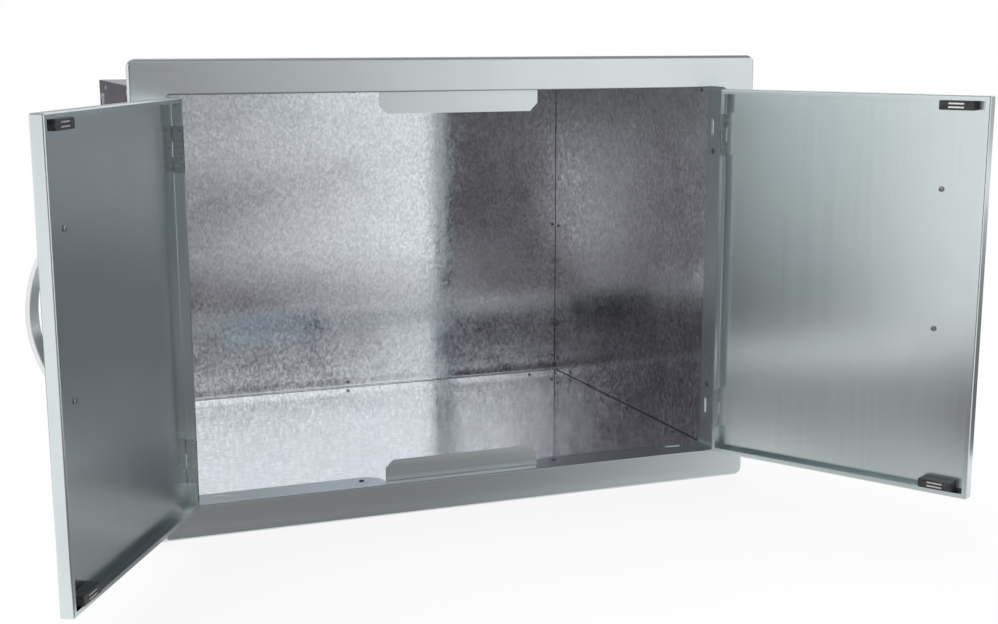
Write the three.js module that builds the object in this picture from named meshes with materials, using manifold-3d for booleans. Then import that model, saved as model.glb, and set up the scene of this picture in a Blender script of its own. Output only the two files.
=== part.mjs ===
// Drop-in double-door cabinet for an outdoor kitchen island, doors standing open.
// Millimetres, +X to the right, +Y into the island, +Z up. The origin is on the underside of
// the box, half way across, in the plane of the island's face where the trim flange rests.
import * as THREE from 'three';
import { mergeVertices } from 'three/addons/utils/BufferGeometryUtils.js';
import Module from 'manifold-3d';

const wasm = await Module();
wasm.setup();

// Driving dimensions
const opening = { width: 682, height: 460, corner: 5 };
const flange = { side: 40, rail: 38.6, depth: 6, edge: 4, corner: 10, lip: 8 };
const frame = { sheet: 1.2, bend: 2, returnDepth: 43 };
const tab = { width: 195, height: 25, chamfer: 9.5, relief: 1.5, endRadius: 24 };
const slot = { length: 21, width: 5, fromFront: 30, onJamb: 50.4, onRail: 46.3 };
const box = { sheet: 1, bend: 1.4, depth: 526.8, sideStart: 17, panStart: 2 };
const lap = { floor: 15, top: 17, back: 20 };
const rivet = { shank: 1.6, head: 3.2, headHeight: 1.1, rim: 0.4, crown: 1.9 };
const upset = { radius: 2.3, height: 1.6 };
const seam = { floorRise: 6.7, topDrop: 8.5, fromFront: 64, fromRear: 62.8 };
const corner = { inset: 11.8, end: 20.8, side: 44.5 };
const joint = { fromFront: 27.5, onJamb: 80, onRail: 125 };
const door = { gap: 1.5, meeting: 3, recess: 1, thickness: 14, corner: 2, lip: 5.7 };
const skin = { sheet: 1.2, bend: 1.8 };
const hinge = { length: 50, knuckle: 3.2, pin: 1.5, sheet: 1.2, slack: 0.4 };
const pin = { proud: 4, outside: 0.3, inset: 55.3, end: 0.5 };
const leaf = { reach: 18, turn: 7, notchDepth: 2.2, notchSlack: 0.6 };
const handle = { pitch: 160, width: 18, thickness: 5, edge: 0.6, toEdge: 55.5, lift: 43 };
const bow = { rise: 37, radius: 111.6, half: 55, turn: 6.5 };
const screw = { shank: 1.5, head: 3.2, headHeight: 1.8, dome: 0.7, bite: 4 };
const magnet = { length: 40, width: 10.4, proud: 2.5, gap: 0.5, toEdge: 38, edge: 0.7, wall: 1.6 };
const pole = { length: 18, thickness: 1.8, pitch: 4.1, proud: 0.3, depth: 12 };
const clearance = 0.3;
const overrun = 5;
const leastCorner = 0.3;

const doorsOpen = 120;
const quarterTurn = Math.PI / 2;
const cornerSteps = 3;
const bendSteps = 2;
const holeSteps = 8;
const headSteps = 10;
const arcSteps = 6;
const barrelSteps = 14;
const bowSteps = 14;

// Places worked out from the driving dimensions
const front = -flange.depth;
const boxBack = front + box.depth;
const sill = box.sheet + clearance + frame.sheet;
const head = sill + opening.height;
const middle = sill + opening.height / 2;
const boxTop = head + frame.sheet + clearance + box.sheet;
const sideInner = opening.width / 2 + frame.sheet + clearance;
const sideOuter = sideInner + box.sheet;
const lapInner = sideOuter + clearance;
const lapOuter = lapInner + box.sheet;
const backOuter = boxBack + box.sheet;
const doorWidth = (opening.width - 2 * door.gap - door.meeting) / 2;
const doorHeight = opening.height - 2 * door.gap;
const axisX = opening.width / 2 + pin.outside;
const axisY = front - pin.proud;
const tabFront = front + door.recess + door.thickness + magnet.proud + magnet.gap;
const seamLow = box.sheet + seam.floorRise;
const seamHigh = boxTop - seam.topDrop;
const hingeHeights = {
  upper: middle + doorHeight / 2 - pin.inset,
  lower: middle - doorHeight / 2 + pin.inset,
};
const knuckleLength = (hinge.length - 2 * hinge.slack) / 3;

// Materials
const stainless = { color: 0x9aa1a3, roughness: 0.32, metalness: 1 };
const polished = { color: 0xc9cccd, roughness: 0.16, metalness: 1 };
const galvanised = { color: 0x9a9ba4, roughness: 0.42, metalness: 0.9 };
const rivetMetal = { color: 0xaeb0b2, roughness: 0.4, metalness: 1 };
const blackPlastic = { color: 0x17181a, roughness: 0.45, metalness: 0 };
const ferrite = { color: 0x2a2a2c, roughness: 0.7, metalness: 0.2 };

const cabinet = new THREE.Group();

// Solids: booleans, outlines and the ways a sheet is bent

function solid(geometry) {
  const bare = geometry.clone();
  bare.deleteAttribute('normal');
  bare.deleteAttribute('uv');
  const merged = mergeVertices(bare);
  const triVerts = new Uint32Array(merged.index.array);
  const vertProperties = new Float32Array(merged.attributes.position.array);
  return new wasm.Manifold(new wasm.Mesh({ numProp: 3, vertProperties, triVerts }));
}

function geometryOf(body) {
  const mesh = body.getMesh();
  const geometry = new THREE.BufferGeometry();
  const positions = new Float32Array(mesh.numVert * 3);
  for (let vertex = 0; vertex < mesh.numVert; vertex += 1) {
    for (let axis = 0; axis < 3; axis += 1) {
      positions[vertex * 3 + axis] = mesh.vertProperties[vertex * mesh.numProp + axis];
    }
  }
  geometry.setAttribute('position', new THREE.BufferAttribute(positions, 3));
  geometry.setIndex(new THREE.BufferAttribute(new Uint32Array(mesh.triVerts), 1));
  return geometry;
}

function unite(bodies) {
  return bodies.reduce((sum, body) => sum.add(body));
}

function cut(body, cutters) {
  return cutters.reduce((rest, cutter) => rest.subtract(cutter), body);
}

function add(parent, name, body, finish) {
  const geometry = geometryOf(body);
  geometry.computeVertexNormals();
  const mesh = new THREE.Mesh(geometry, new THREE.MeshStandardMaterial(finish));
  mesh.name = name;
  parent.add(mesh);
  return mesh;
}

function block(x0, x1, y0, y1, z0, z1) {
  const low = new THREE.Vector3(Math.min(x0, x1), Math.min(y0, y1), Math.min(z0, z1));
  const high = new THREE.Vector3(Math.max(x0, x1), Math.max(y0, y1), Math.max(z0, z1));
  const size = high.clone().sub(low);
  const geometry = new THREE.BoxGeometry(size.x, size.y, size.z);
  geometry.translate((low.x + high.x) / 2, (low.y + high.y) / 2, (low.z + high.z) / 2);
  return solid(geometry);
}

function prism(outline, length) {
  const shape = new THREE.Shape(outline);
  return new THREE.ExtrudeGeometry(shape, { depth: length, bevelEnabled: false });
}

// An outline in the XY plane, carried up from z0 to z1
function alongZ(outline, z0, z1) {
  const geometry = prism(outline, z1 - z0);
  geometry.translate(0, 0, z0);
  return solid(geometry);
}

// An outline in the XZ plane, carried back from y0 to y1
function alongY(outline, y0, y1) {
  const geometry = prism(outline, y1 - y0);
  const right = new THREE.Vector3(1, 0, 0);
  const up = new THREE.Vector3(0, 0, 1);
  const forward = new THREE.Vector3(0, -1, 0);
  geometry.applyMatrix4(new THREE.Matrix4().makeBasis(right, up, forward));
  geometry.translate(0, y1, 0);
  return solid(geometry);
}

function turnToX(geometry) {
  const back = new THREE.Vector3(0, 1, 0);
  const up = new THREE.Vector3(0, 0, 1);
  const right = new THREE.Vector3(1, 0, 0);
  return geometry.applyMatrix4(new THREE.Matrix4().makeBasis(back, up, right));
}

// An outline in the YZ plane, carried across from x0 to x1
function alongX(outline, x0, x1) {
  const geometry = turnToX(prism(outline, x1 - x0));
  geometry.translate(x0, 0, 0);
  return solid(geometry);
}

function point(x, y) {
  return new THREE.Vector2(x, y);
}

function circle(centreX, centreY, radius, steps) {
  const points = [];
  for (let step = 0; step < steps; step += 1) {
    const angle = ((step + 0.5) / steps) * 4 * quarterTurn;
    points.push(point(centreX + radius * Math.cos(angle), centreY + radius * Math.sin(angle)));
  }
  return points;
}

// A slotted hole's outline: straight sides and round ends, long in its first direction or its second
function stadium(centreX, centreY, length, width, upright) {
  const points = [];
  const half = (length - width) / 2;
  for (let end = 0; end < 2; end += 1) {
    for (let step = 0; step <= bendSteps * 2; step += 1) {
      const angle = (end * 2 - 1 + (2 * step) / (bendSteps * 2)) * quarterTurn;
      const along = (end === 0 ? half : -half) + (width / 2) * Math.cos(angle);
      const across = (width / 2) * Math.sin(angle);
      points.push(upright
        ? point(centreX - across, centreY + along)
        : point(centreX + along, centreY + across));
    }
  }
  return points;
}

// An open path with each inner corner rounded to an arc
function rounded(path, radius, steps) {
  const points = [path[0]];
  for (let index = 1; index < path.length - 1; index += 1) {
    const vertex = path[index];
    const back = path[index - 1].clone().sub(vertex).normalize();
    const on = path[index + 1].clone().sub(vertex).normalize();
    const half = Math.acos(THREE.MathUtils.clamp(back.dot(on), -1, 1)) / 2;
    const start = vertex.clone().addScaledVector(back, radius / Math.tan(half));
    const bisector = back.clone().add(on).normalize();
    const centre = vertex.clone().addScaledVector(bisector, radius / Math.sin(half));
    const sweep = Math.PI - 2 * half;
    const sense = Math.sign(back.x * on.y - back.y * on.x);
    for (let step = 0; step <= steps; step += 1) {
      points.push(start.clone().rotateAround(centre, (-sense * sweep * step) / steps));
    }
  }
  points.push(path[path.length - 1]);
  return points;
}

// The closed section of a sheet whose middle line is an open path
function ribbon(path, thickness) {
  const left = [];
  const right = [];
  path.forEach((here, index) => {
    const before = path[Math.max(index - 1, 0)];
    const after = path[Math.min(index + 1, path.length - 1)];
    const arriving = here.clone().sub(before).normalize();
    const leaving = after.clone().sub(here).normalize();
    const along = arriving.clone().add(leaving).normalize();
    const bisector = along.dot(index === 0 ? leaving : arriving);
    const normal = point(-along.y, along.x).multiplyScalar(thickness / 2 / bisector);
    left.push(here.clone().add(normal));
    right.unshift(here.clone().sub(normal));
  });
  return left.concat(right);
}

function bentSection(path, thickness, outerBend) {
  return ribbon(rounded(path, outerBend - thickness / 2, bendSteps), thickness);
}

// One loop of a pressed sheet: a rectangle with round corners, drawn in from its outline and set back
function loop(outline, inset, y) {
  const radius = Math.max(outline.corner - inset, leastCorner);
  const halfWidth = outline.width / 2 - inset - radius;
  const halfHeight = outline.height / 2 - inset - radius;
  const points = [];
  for (let quarter = 0; quarter < 4; quarter += 1) {
    const side = quarter === 0 || quarter === 3 ? 1 : -1;
    const level = quarter < 2 ? 1 : -1;
    for (let step = 0; step <= cornerSteps; step += 1) {
      const angle = (quarter + step / cornerSteps) * quarterTurn;
      const x = side * halfWidth + radius * Math.cos(angle);
      const z = level * halfHeight + radius * Math.sin(angle);
      points.push(new THREE.Vector3(x, y, z));
    }
  }
  return points;
}

// Loops round a quarter bend. The centre is the bend's own, and the angles count quarter turns
// from 0, straight out to the outline: 1 is straight to the front, 2 straight in, -1 to the rear.
function bend(outline, centreInset, centreY, radius, from, to) {
  const loops = [];
  for (let step = 0; step <= bendSteps; step += 1) {
    const angle = (from + ((to - from) * step) / bendSteps) * quarterTurn;
    const inset = centreInset - radius * Math.cos(angle);
    loops.push(loop(outline, inset, centreY - radius * Math.sin(angle)));
  }
  return loops;
}

// A closed skin through a row of loops, either joined round to the first loop or capped at both ends
function shell(loops, capped) {
  const count = loops[0].length;
  const points = loops.flat();
  const triangles = [];
  const rows = capped ? loops.length - 1 : loops.length;
  for (let row = 0; row < rows; row += 1) {
    const here = row * count;
    const next = ((row + 1) % loops.length) * count;
    for (let index = 0; index < count; index += 1) {
      const following = (index + 1) % count;
      triangles.push([here + index, here + following, next + following]);
      triangles.push([here + index, next + following, next + index]);
    }
  }
  if (capped) {
    const last = (loops.length - 1) * count;
    for (let index = 1; index < count - 1; index += 1) {
      triangles.push([0, index + 1, index]);
      triangles.push([last, last + index, last + index + 1]);
    }
  }
  const volume = triangles.reduce((sum, [a, b, c]) => (
    sum + points[a].dot(points[b].clone().cross(points[c]))
  ), 0);
  const facing = volume < 0 ? triangles.map(([a, b, c]) => [a, c, b]) : triangles;
  const geometry = new THREE.BufferGeometry();
  geometry.setFromPoints(points);
  geometry.setIndex(facing.flat());
  return geometry;
}

// A blind rivet along +Y: its head at the near side of the grip, its upset tail at the far side
function rivetSolid(grip, seat) {
  const inner = grip + clearance;
  const profile = [
    point(0, seat - rivet.headHeight),
    point(rivet.crown, seat - rivet.headHeight),
    point(rivet.head, seat - rivet.rim),
    point(rivet.head, seat),
    point(rivet.shank, seat),
    point(rivet.shank, inner),
    point(upset.radius, inner),
    point(rivet.shank, inner + upset.height),
    point(0, inner + upset.height),
  ];
  return new THREE.LatheGeometry(profile, holeSteps);
}

function placedRivet(grip, place, direction, seat = -clearance) {
  const geometry = rivetSolid(grip, seat);
  const turn = new THREE.Quaternion().setFromUnitVectors(new THREE.Vector3(0, 1, 0), direction);
  geometry.applyQuaternion(turn);
  geometry.translate(place.x, place.y, place.z);
  return solid(geometry);
}

// Cutters shared by the sheets that one fastener passes through
const acrossAll = lapOuter + overrun;
const hole = rivet.shank + clearance;
const jambRivetHeights = [sill + joint.onJamb, head - joint.onJamb];
const jambSlotHeights = [sill + slot.onJamb, head - slot.onJamb];
const railRivetPlaces = [-joint.onRail, joint.onRail];
const railSlotPlaces = [-1, 1].map((side) => side * (opening.width / 2 - slot.onRail));
const seamPitch = (box.depth - seam.fromFront - seam.fromRear) / 2;
const sideSeamDepths = [0, 1, 2].map((count) => front + seam.fromFront + count * seamPitch);
const backSeamHeights = [box.sheet + corner.end, middle, boxTop - box.sheet - corner.end];
const backSeamPlaces = [-1, 0, 1].map((side) => side * (sideOuter - corner.side));
const backSeamDepth = boxBack - corner.inset;

const jambSlots = jambSlotHeights.map((z) => (
  alongX(stadium(front + slot.fromFront, z, slot.length, slot.width, true), -acrossAll, acrossAll)
));
const jambRivetHoles = jambRivetHeights.map((z) => (
  alongX(circle(front + joint.fromFront, z, hole, holeSteps), -acrossAll, acrossAll)
));
const railSlots = railSlotPlaces.map((x) => (
  alongZ(stadium(x, front + slot.fromFront, slot.length, slot.width, false), -overrun, boxTop + overrun)
));
const railRivetHoles = railRivetPlaces.map((x) => (
  alongZ(circle(x, front + joint.fromFront, hole, holeSteps), -overrun, boxTop + overrun)
));
const sideSeamHoles = (z) => sideSeamDepths.map((y) => (
  alongX(circle(y, z, hole, holeSteps), -acrossAll, acrossAll)
));
const sideBackHoles = backSeamHeights.map((z) => (
  alongX(circle(backSeamDepth, z, hole, holeSteps), -acrossAll, acrossAll)
));
const backSeamHoles = (z) => backSeamPlaces.map((x) => (
  alongY(circle(x, z, hole, holeSteps), boxBack - overrun, backOuter + overrun)
));

// Front frame: trim flange, returned outer edge, returns round the opening and the strike tabs

function frameShell() {
  const outer = {
    width: opening.width + 2 * flange.side,
    height: opening.height + 2 * flange.rail,
    corner: flange.corner,
  };
  const sheet = frame.sheet;
  const small = frame.bend;
  const returnBack = front + frame.returnDepth;
  const edgeY = front + flange.edge;
  const loops = [
    loop(outer, flange.lip, 0),
    ...bend(outer, small, -small, small, -1, 0),
    ...bend(outer, flange.edge, edgeY, flange.edge, 0, 1),
    ...bend(opening, -small, front + small, small, 1, 2),
    loop(opening, 0, returnBack),
    loop(opening, -sheet, returnBack),
    ...bend(opening, -small, front + small, small - sheet, 2, 1),
    ...bend(outer, flange.edge, edgeY, flange.edge - sheet, 1, 0),
    ...bend(outer, small, -small, small - sheet, 0, -1),
    loop(outer, flange.lip, -sheet),
  ];
  const geometry = shell(loops, false);
  geometry.translate(0, 0, middle);
  return solid(geometry);
}

// What is cleared from a rail's return behind the tab, with the strips' round ends left standing
function tabClearing(z0, z1) {
  const half = tab.width / 2 + tab.relief;
  const back = front + frame.returnDepth;
  const crease = tabFront - frame.bend;
  const shoulder = half + tab.endRadius;
  const outline = [point(-half, crease)];
  for (let step = 0; step <= arcSteps; step += 1) {
    const angle = (step / arcSteps) * quarterTurn;
    const x = -shoulder + tab.endRadius * Math.cos(angle);
    outline.push(point(x, back - tab.endRadius + tab.endRadius * Math.sin(angle)));
  }
  outline.push(point(-shoulder, back + overrun));
  const mirrored = outline.map((place) => point(-place.x, place.y)).reverse();
  return alongZ(outline.concat(mirrored), z0, z1);
}

// A tab bent up, or down, from a rail's return, with its two free corners cut off
function strikeTab(level, sense) {
  const start = tabFront - frame.bend - overrun;
  const line = level - (sense * frame.sheet) / 2;
  const middleY = tabFront + frame.sheet / 2;
  const tip = level + sense * tab.height;
  const path = [point(start, line), point(middleY, line), point(middleY, tip)];
  const section = bentSection(path, frame.sheet, frame.bend);
  const half = tab.width / 2;
  const outline = [
    point(-half, level - sense * overrun),
    point(half, level - sense * overrun),
    point(half, tip - sense * tab.chamfer),
    point(half - tab.chamfer, tip),
    point(tab.chamfer - half, tip),
    point(-half, tip - sense * tab.chamfer),
  ];
  const blank = alongX(section, -half, half);
  return blank.intersect(alongY(outline, start - overrun, tabFront + frame.returnDepth));
}

// The notch that lets a hinge leaf pass behind a jamb
function jambNotch(side, z) {
  const half = hinge.length / 2 + leaf.notchSlack;
  const inner = side * (opening.width / 2 - overrun);
  const outer = side * (opening.width / 2 + frame.sheet + 2 * clearance + hinge.sheet);
  return block(inner, outer, front - overrun, front + frame.bend + clearance, z - half, z + half);
}

function frontFrame() {
  const under = sill - frame.sheet - clearance / 2;
  const over = head + frame.sheet + clearance / 2;
  const notches = [-1, 1].flatMap((side) => (
    Object.values(hingeHeights).map((z) => jambNotch(side, z))
  ));
  const body = cut(frameShell(), [
    tabClearing(under, sill + overrun),
    tabClearing(head - overrun, over),
    ...notches,
    ...jambSlots,
    ...railSlots,
    ...jambRivetHoles,
    ...railRivetHoles,
  ]);
  return unite([body, strikeTab(sill, 1), strikeTab(head, -1)]);
}

add(cabinet, 'front_frame', frontFrame(), stainless);

// The box behind the frame

const panFront = front + box.panStart;
const sideFront = front + box.sideStart;

[['left', -1], ['right', 1]].forEach(([name, side]) => {
  const panel = block(
    side * sideInner,
    side * sideOuter,
    sideFront,
    boxBack - clearance,
    box.sheet + clearance,
    boxTop - box.sheet - clearance,
  );
  const seamHoles = [...sideSeamHoles(seamLow), ...sideSeamHoles(seamHigh), ...sideBackHoles];
  const body = cut(panel, [...jambSlots, ...jambRivetHoles, ...seamHoles]);
  add(cabinet, `${name}_side_panel`, body, galvanised);
});

// A floor or top pan: a U-section along the box and a flange across its back
function pan(level, sense, lapDepth) {
  const line = level + (sense * box.sheet) / 2;
  const lapLine = lapInner + box.sheet / 2;
  const tip = level + sense * lapDepth;
  const acrossPath = [
    point(-lapLine, tip),
    point(-lapLine, line),
    point(lapLine, line),
    point(lapLine, tip),
  ];
  const trough = alongY(bentSection(acrossPath, box.sheet, box.bend), panFront, boxBack);
  const backLine = backOuter + clearance + box.sheet / 2;
  const backPath = [point(boxBack - overrun, line), point(backLine, line), point(backLine, tip)];
  const apron = alongX(bentSection(backPath, box.sheet, box.bend), -sideInner, sideInner);
  return unite([trough, apron]);
}

function backPanel() {
  const lapLine = lapInner + box.sheet / 2;
  const line = boxBack + box.sheet / 2;
  const tip = boxBack - lap.back;
  const path = [point(-lapLine, tip), point(-lapLine, line), point(lapLine, line), point(lapLine, tip)];
  const section = bentSection(path, box.sheet, box.bend);
  const flanged = alongZ(section, lap.floor + clearance, boxTop - lap.top - clearance);
  const low = box.sheet + clearance;
  const high = boxTop - box.sheet - clearance;
  const flat = block(-sideOuter, sideOuter, boxBack, backOuter, low, high);
  return cut(unite([flanged, flat]), [...backSeamHoles(seamLow), ...backSeamHoles(seamHigh)]);
}

// Rivets, heads outside the box, and inside the opening where the frame is riveted to it
const lapGrip = lapOuter - sideInner;
const backFace = backOuter + clearance + box.sheet;
const frameGrip = frame.sheet + clearance + box.sheet;

function sideRivet(side, y, z, seat) {
  const place = new THREE.Vector3(side * lapOuter, y, z);
  return placedRivet(lapGrip, place, new THREE.Vector3(-side, 0, 0), seat);
}

function backRivet(x, z, seat) {
  const place = new THREE.Vector3(x, backFace, z);
  return placedRivet(backFace - boxBack, place, new THREE.Vector3(0, -1, 0), seat);
}

function jambRivet(side, z) {
  const place = new THREE.Vector3((side * opening.width) / 2, front + joint.fromFront, z);
  return placedRivet(frameGrip, place, new THREE.Vector3(side, 0, 0));
}

function railRivet(x, z, sense) {
  const place = new THREE.Vector3(x, front + joint.fromFront, z);
  return placedRivet(frameGrip, place, new THREE.Vector3(0, 0, sense));
}

// The pans. The rivets along the top and down the back corners are part of the pan they hold.
const panCuts = [...railSlots, ...railRivetHoles];
const floorCuts = [...panCuts, ...sideSeamHoles(seamLow), ...backSeamHoles(seamLow)];
const topRivets = [
  ...[-1, 1].flatMap((side) => sideSeamDepths.map((y) => sideRivet(side, y, seamHigh, 0))),
  ...backSeamPlaces.map((x) => backRivet(x, seamHigh, 0)),
];
const cornerRivets = [-1, 1].flatMap((side) => (
  backSeamHeights.map((z) => sideRivet(side, backSeamDepth, z, 0))
));
const floorPan = cut(pan(0, 1, lap.floor), floorCuts);
const topPan = cut(pan(boxTop, -1, lap.top), panCuts);
add(cabinet, 'floor_panel', floorPan, galvanised);
add(cabinet, 'top_panel', unite([topPan, ...topRivets]), galvanised);
add(cabinet, 'back_panel', unite([backPanel(), ...cornerRivets]), galvanised);

[['left', -1], ['right', 1]].forEach(([name, side]) => {
  sideSeamDepths.forEach((y, index) => {
    add(cabinet, `${name}_floor_rivet_${index + 1}`, sideRivet(side, y, seamLow), rivetMetal);
  });
  jambRivetHeights.forEach((z, index) => {
    add(cabinet, `${name}_jamb_rivet_${index + 1}`, jambRivet(side, z), rivetMetal);
  });
});
backSeamPlaces.forEach((x, index) => {
  add(cabinet, `back_floor_rivet_${index + 1}`, backRivet(x, seamLow), rivetMetal);
});
railRivetPlaces.forEach((x, index) => {
  add(cabinet, `lower_rail_rivet_${index + 1}`, railRivet(x, sill, -1), rivetMetal);
  add(cabinet, `upper_rail_rivet_${index + 1}`, railRivet(x, head, 1), rivetMetal);
});

// Hinges, drawn about the pin: x towards the middle of the opening, y into the cabinet

function barrel(z0, z1) {
  return alongZ(circle(0, 0, hinge.knuckle, barrelSteps), z0, z1);
}

const pinHole = alongZ(
  circle(0, 0, hinge.pin + clearance, barrelSteps),
  -hinge.length / 2 - overrun,
  hinge.length / 2 + overrun,
);

function frameLeaf(side) {
  const half = hinge.length / 2;
  const room = knuckleLength / 2 + hinge.slack;
  const face = side * (-pin.outside + frame.sheet + clearance);
  const rear = face + side * hinge.sheet;
  const plate = block(face, rear, 0, pin.proud + leaf.reach - clearance - frame.sheet, -half, half);
  const knuckles = unite([barrel(-half, half), plate]);
  const gap = block(-overrun, overrun, -overrun, hinge.knuckle + clearance, -room, room);
  return cut(knuckles, [gap, pinHole]);
}

function doorLeaf(side) {
  const half = hinge.length / 2;
  const inward = -side;
  const wallInner = pin.outside + door.gap + skin.sheet;
  const line = wallInner + clearance + hinge.sheet / 2;
  const skinInner = pin.proud + door.recess + skin.sheet;
  const tip = pin.proud + door.recess + door.thickness - skin.sheet / 2;
  const path = [point(0, 0), point(inward * line, leaf.turn), point(inward * line, tip)];
  const strap = ribbon(rounded(path, skin.bend, bendSteps), hinge.sheet);
  const web = alongZ(strap, -knuckleLength / 2, knuckleLength / 2);
  const plate = block(
    inward * (line - hinge.sheet / 2),
    inward * (line + hinge.sheet / 2),
    skinInner + clearance,
    tip,
    -half,
    half,
  );
  return unite([barrel(-knuckleLength / 2, knuckleLength / 2), web, plate]).subtract(pinHole);
}

function hingePin() {
  const half = hinge.length / 2;
  const profile = [
    point(0, -half - pin.end),
    point(hinge.pin - pin.end, -half - pin.end),
    point(hinge.pin, -half),
    point(hinge.pin, half),
    point(hinge.pin - pin.end, half + pin.end),
    point(0, half + pin.end),
  ];
  const geometry = new THREE.LatheGeometry(profile, headSteps);
  geometry.rotateX(quarterTurn);
  return solid(geometry);
}

// Doors, drawn closed about their pins

const doorFace = pin.proud + door.recess;
const doorInner = doorFace + door.thickness;
const skinBack = doorFace + skin.sheet;
const doorEdge = pin.outside + door.gap;
const handlePlace = doorEdge + doorWidth - handle.toEdge;
const catchPlace = doorEdge + doorWidth - magnet.toEdge;
const handleHeight = middle + handle.lift;

function doorShell() {
  const outline = { width: doorWidth, height: doorHeight, corner: door.corner };
  const turn = skin.bend;
  const inner = skin.bend - skin.sheet;
  const frontBend = turn;
  const rearBend = door.thickness - turn;
  const loops = [
    ...bend(outline, turn, frontBend, turn, 1, 0),
    ...bend(outline, turn, rearBend, turn, 0, -1),
    loop(outline, door.lip, door.thickness),
    loop(outline, door.lip, door.thickness - skin.sheet),
    ...bend(outline, turn, rearBend, inner, -1, 0),
    ...bend(outline, turn, frontBend, inner, 0, 1),
  ];
  return shell(loops, true);
}

function screwBores(inward, y0, y1) {
  return [-1, 1].map((sense) => {
    const z = handleHeight + (sense * handle.pitch) / 2;
    const bore = circle(inward * handlePlace, z, screw.shank + clearance, holeSteps);
    return alongY(bore, y0, y1);
  });
}

function doorPan(inward) {
  const geometry = doorShell();
  geometry.translate(inward * (doorEdge + doorWidth / 2), doorFace, middle);
  const cutters = Object.values(hingeHeights).flatMap((z) => {
    const web = knuckleLength / 2 + leaf.notchSlack;
    const plate = hinge.length / 2 + leaf.notchSlack;
    const wallInner = doorEdge + skin.sheet;
    const webFar = wallInner + clearance + hinge.sheet + leaf.notchSlack;
    const lipFar = doorEdge + door.lip + overrun;
    const webNear = doorEdge - overrun;
    const notchFront = doorFace - overrun;
    const notchBack = doorFace + leaf.notchDepth;
    const lipFront = doorInner - skin.bend;
    const lipBack = doorInner + overrun;
    return [
      block(inward * webNear, inward * webFar, notchFront, notchBack, z - web, z + web),
      block(inward * wallInner, inward * lipFar, lipFront, lipBack, z - plate, z + plate),
    ];
  });
  const screwHoles = screwBores(inward, doorFace - overrun, skinBack + overrun);
  return cut(solid(geometry), [...cutters, ...screwHoles]);
}

// The strap's middle line: a flat bow that turns square on to the door at both ends
function bowPath() {
  const centreRadius = bow.radius - handle.thickness / 2;
  const centreY = doorFace + bow.radius - bow.rise;
  const half = handle.pitch / 2;
  const bowAngle = Math.asin(bow.half / centreRadius);
  const arc = [];
  for (let step = 0; step <= bowSteps; step += 1) {
    const angle = bowAngle * ((2 * step) / bowSteps - 1);
    arc.push(point(centreY - centreRadius * Math.cos(angle), centreRadius * Math.sin(angle)));
  }
  const end = arc[arc.length - 1];
  const cornerY = end.x + Math.tan(bowAngle) * (half - bow.half);
  const foot = doorFace - clearance;
  const low = rounded([arc[0], point(cornerY, -half), point(foot, -half)], bow.turn, bendSteps);
  const high = rounded([end, point(cornerY, half), point(foot, half)], bow.turn, bendSteps);
  return [...low.slice(1).reverse(), ...arc, ...high.slice(1)];
}

function bowHandle(inward) {
  const shape = new THREE.Shape(ribbon(bowPath(), handle.thickness));
  const geometry = turnToX(new THREE.ExtrudeGeometry(shape, {
    depth: handle.width - 2 * handle.edge,
    bevelThickness: handle.edge,
    bevelSize: handle.edge,
    bevelOffset: -handle.edge,
    bevelSegments: 2,
  }));
  geometry.translate(inward * handlePlace - handle.width / 2 + handle.edge, 0, handleHeight);
  const boreEnd = doorFace - screw.bite - 2 * clearance;
  return cut(solid(geometry), screwBores(inward, boreEnd, doorFace + overrun));
}

function handleScrew(inward, sense) {
  const seat = skinBack + clearance;
  const profile = [
    point(0, doorFace - screw.bite),
    point(screw.shank, doorFace - screw.bite),
    point(screw.shank, seat),
    point(screw.head, seat),
    point(screw.head, seat + screw.headHeight - screw.dome),
    point(screw.head - screw.dome, seat + screw.headHeight),
    point(0, seat + screw.headHeight),
  ];
  const geometry = new THREE.LatheGeometry(profile, headSteps);
  geometry.translate(inward * handlePlace, 0, handleHeight + (sense * handle.pitch) / 2);
  return solid(geometry);
}

// Magnetic catches

const catchFace = doorInner + magnet.proud;
const housingFace = catchFace - pole.proud;
const housingFoot = skinBack + clearance;
const poleFoot = catchFace - pole.depth;

function catchHousing(inward, z) {
  const half = magnet.length / 2 - magnet.edge;
  const rise = magnet.width / 2 - magnet.edge;
  const outline = [point(-half, -rise), point(half, -rise), point(half, rise), point(-half, rise)];
  const shape = new THREE.Shape(outline);
  const geometry = new THREE.ExtrudeGeometry(shape, {
    depth: housingFace - housingFoot - 2 * magnet.edge,
    bevelThickness: magnet.edge,
    bevelSize: magnet.edge,
    bevelSegments: 1,
  });
  const right = new THREE.Vector3(1, 0, 0);
  const up = new THREE.Vector3(0, 0, 1);
  const forward = new THREE.Vector3(0, -1, 0);
  geometry.applyMatrix4(new THREE.Matrix4().makeBasis(right, up, forward));
  geometry.translate(inward * catchPlace, housingFace - magnet.edge, z);
  const halfPole = pole.length / 2 + clearance;
  const halfStack = (pole.pitch + pole.thickness) / 2 + clearance;
  const x = inward * catchPlace;
  const low = x - halfPole;
  const high = x + halfPole;
  const pocketFoot = housingFoot - overrun;
  const pocketRoof = housingFace - magnet.wall;
  const pocket = block(low, high, pocketFoot, pocketRoof, z - halfStack, z + halfStack);
  const windows = [-1, 1].map((sense) => {
    const centre = z + (sense * pole.pitch) / 2;
    const rest = pole.thickness / 2 + clearance;
    return block(low, high, housingFoot, housingFace + overrun, centre - rest, centre + rest);
  });
  return cut(solid(geometry), [pocket, ...windows]);
}

// Two pole plates bent from one steel strip, with the magnet between them
function poleYoke(inward, z) {
  const x = inward * catchPlace;
  const half = pole.pitch / 2;
  const path = [
    point(catchFace, z - half),
    point(poleFoot, z - half),
    point(poleFoot, z + half),
    point(catchFace, z + half),
  ];
  const section = ribbon(path, pole.thickness);
  return alongX(section, x - pole.length / 2, x + pole.length / 2);
}

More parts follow.
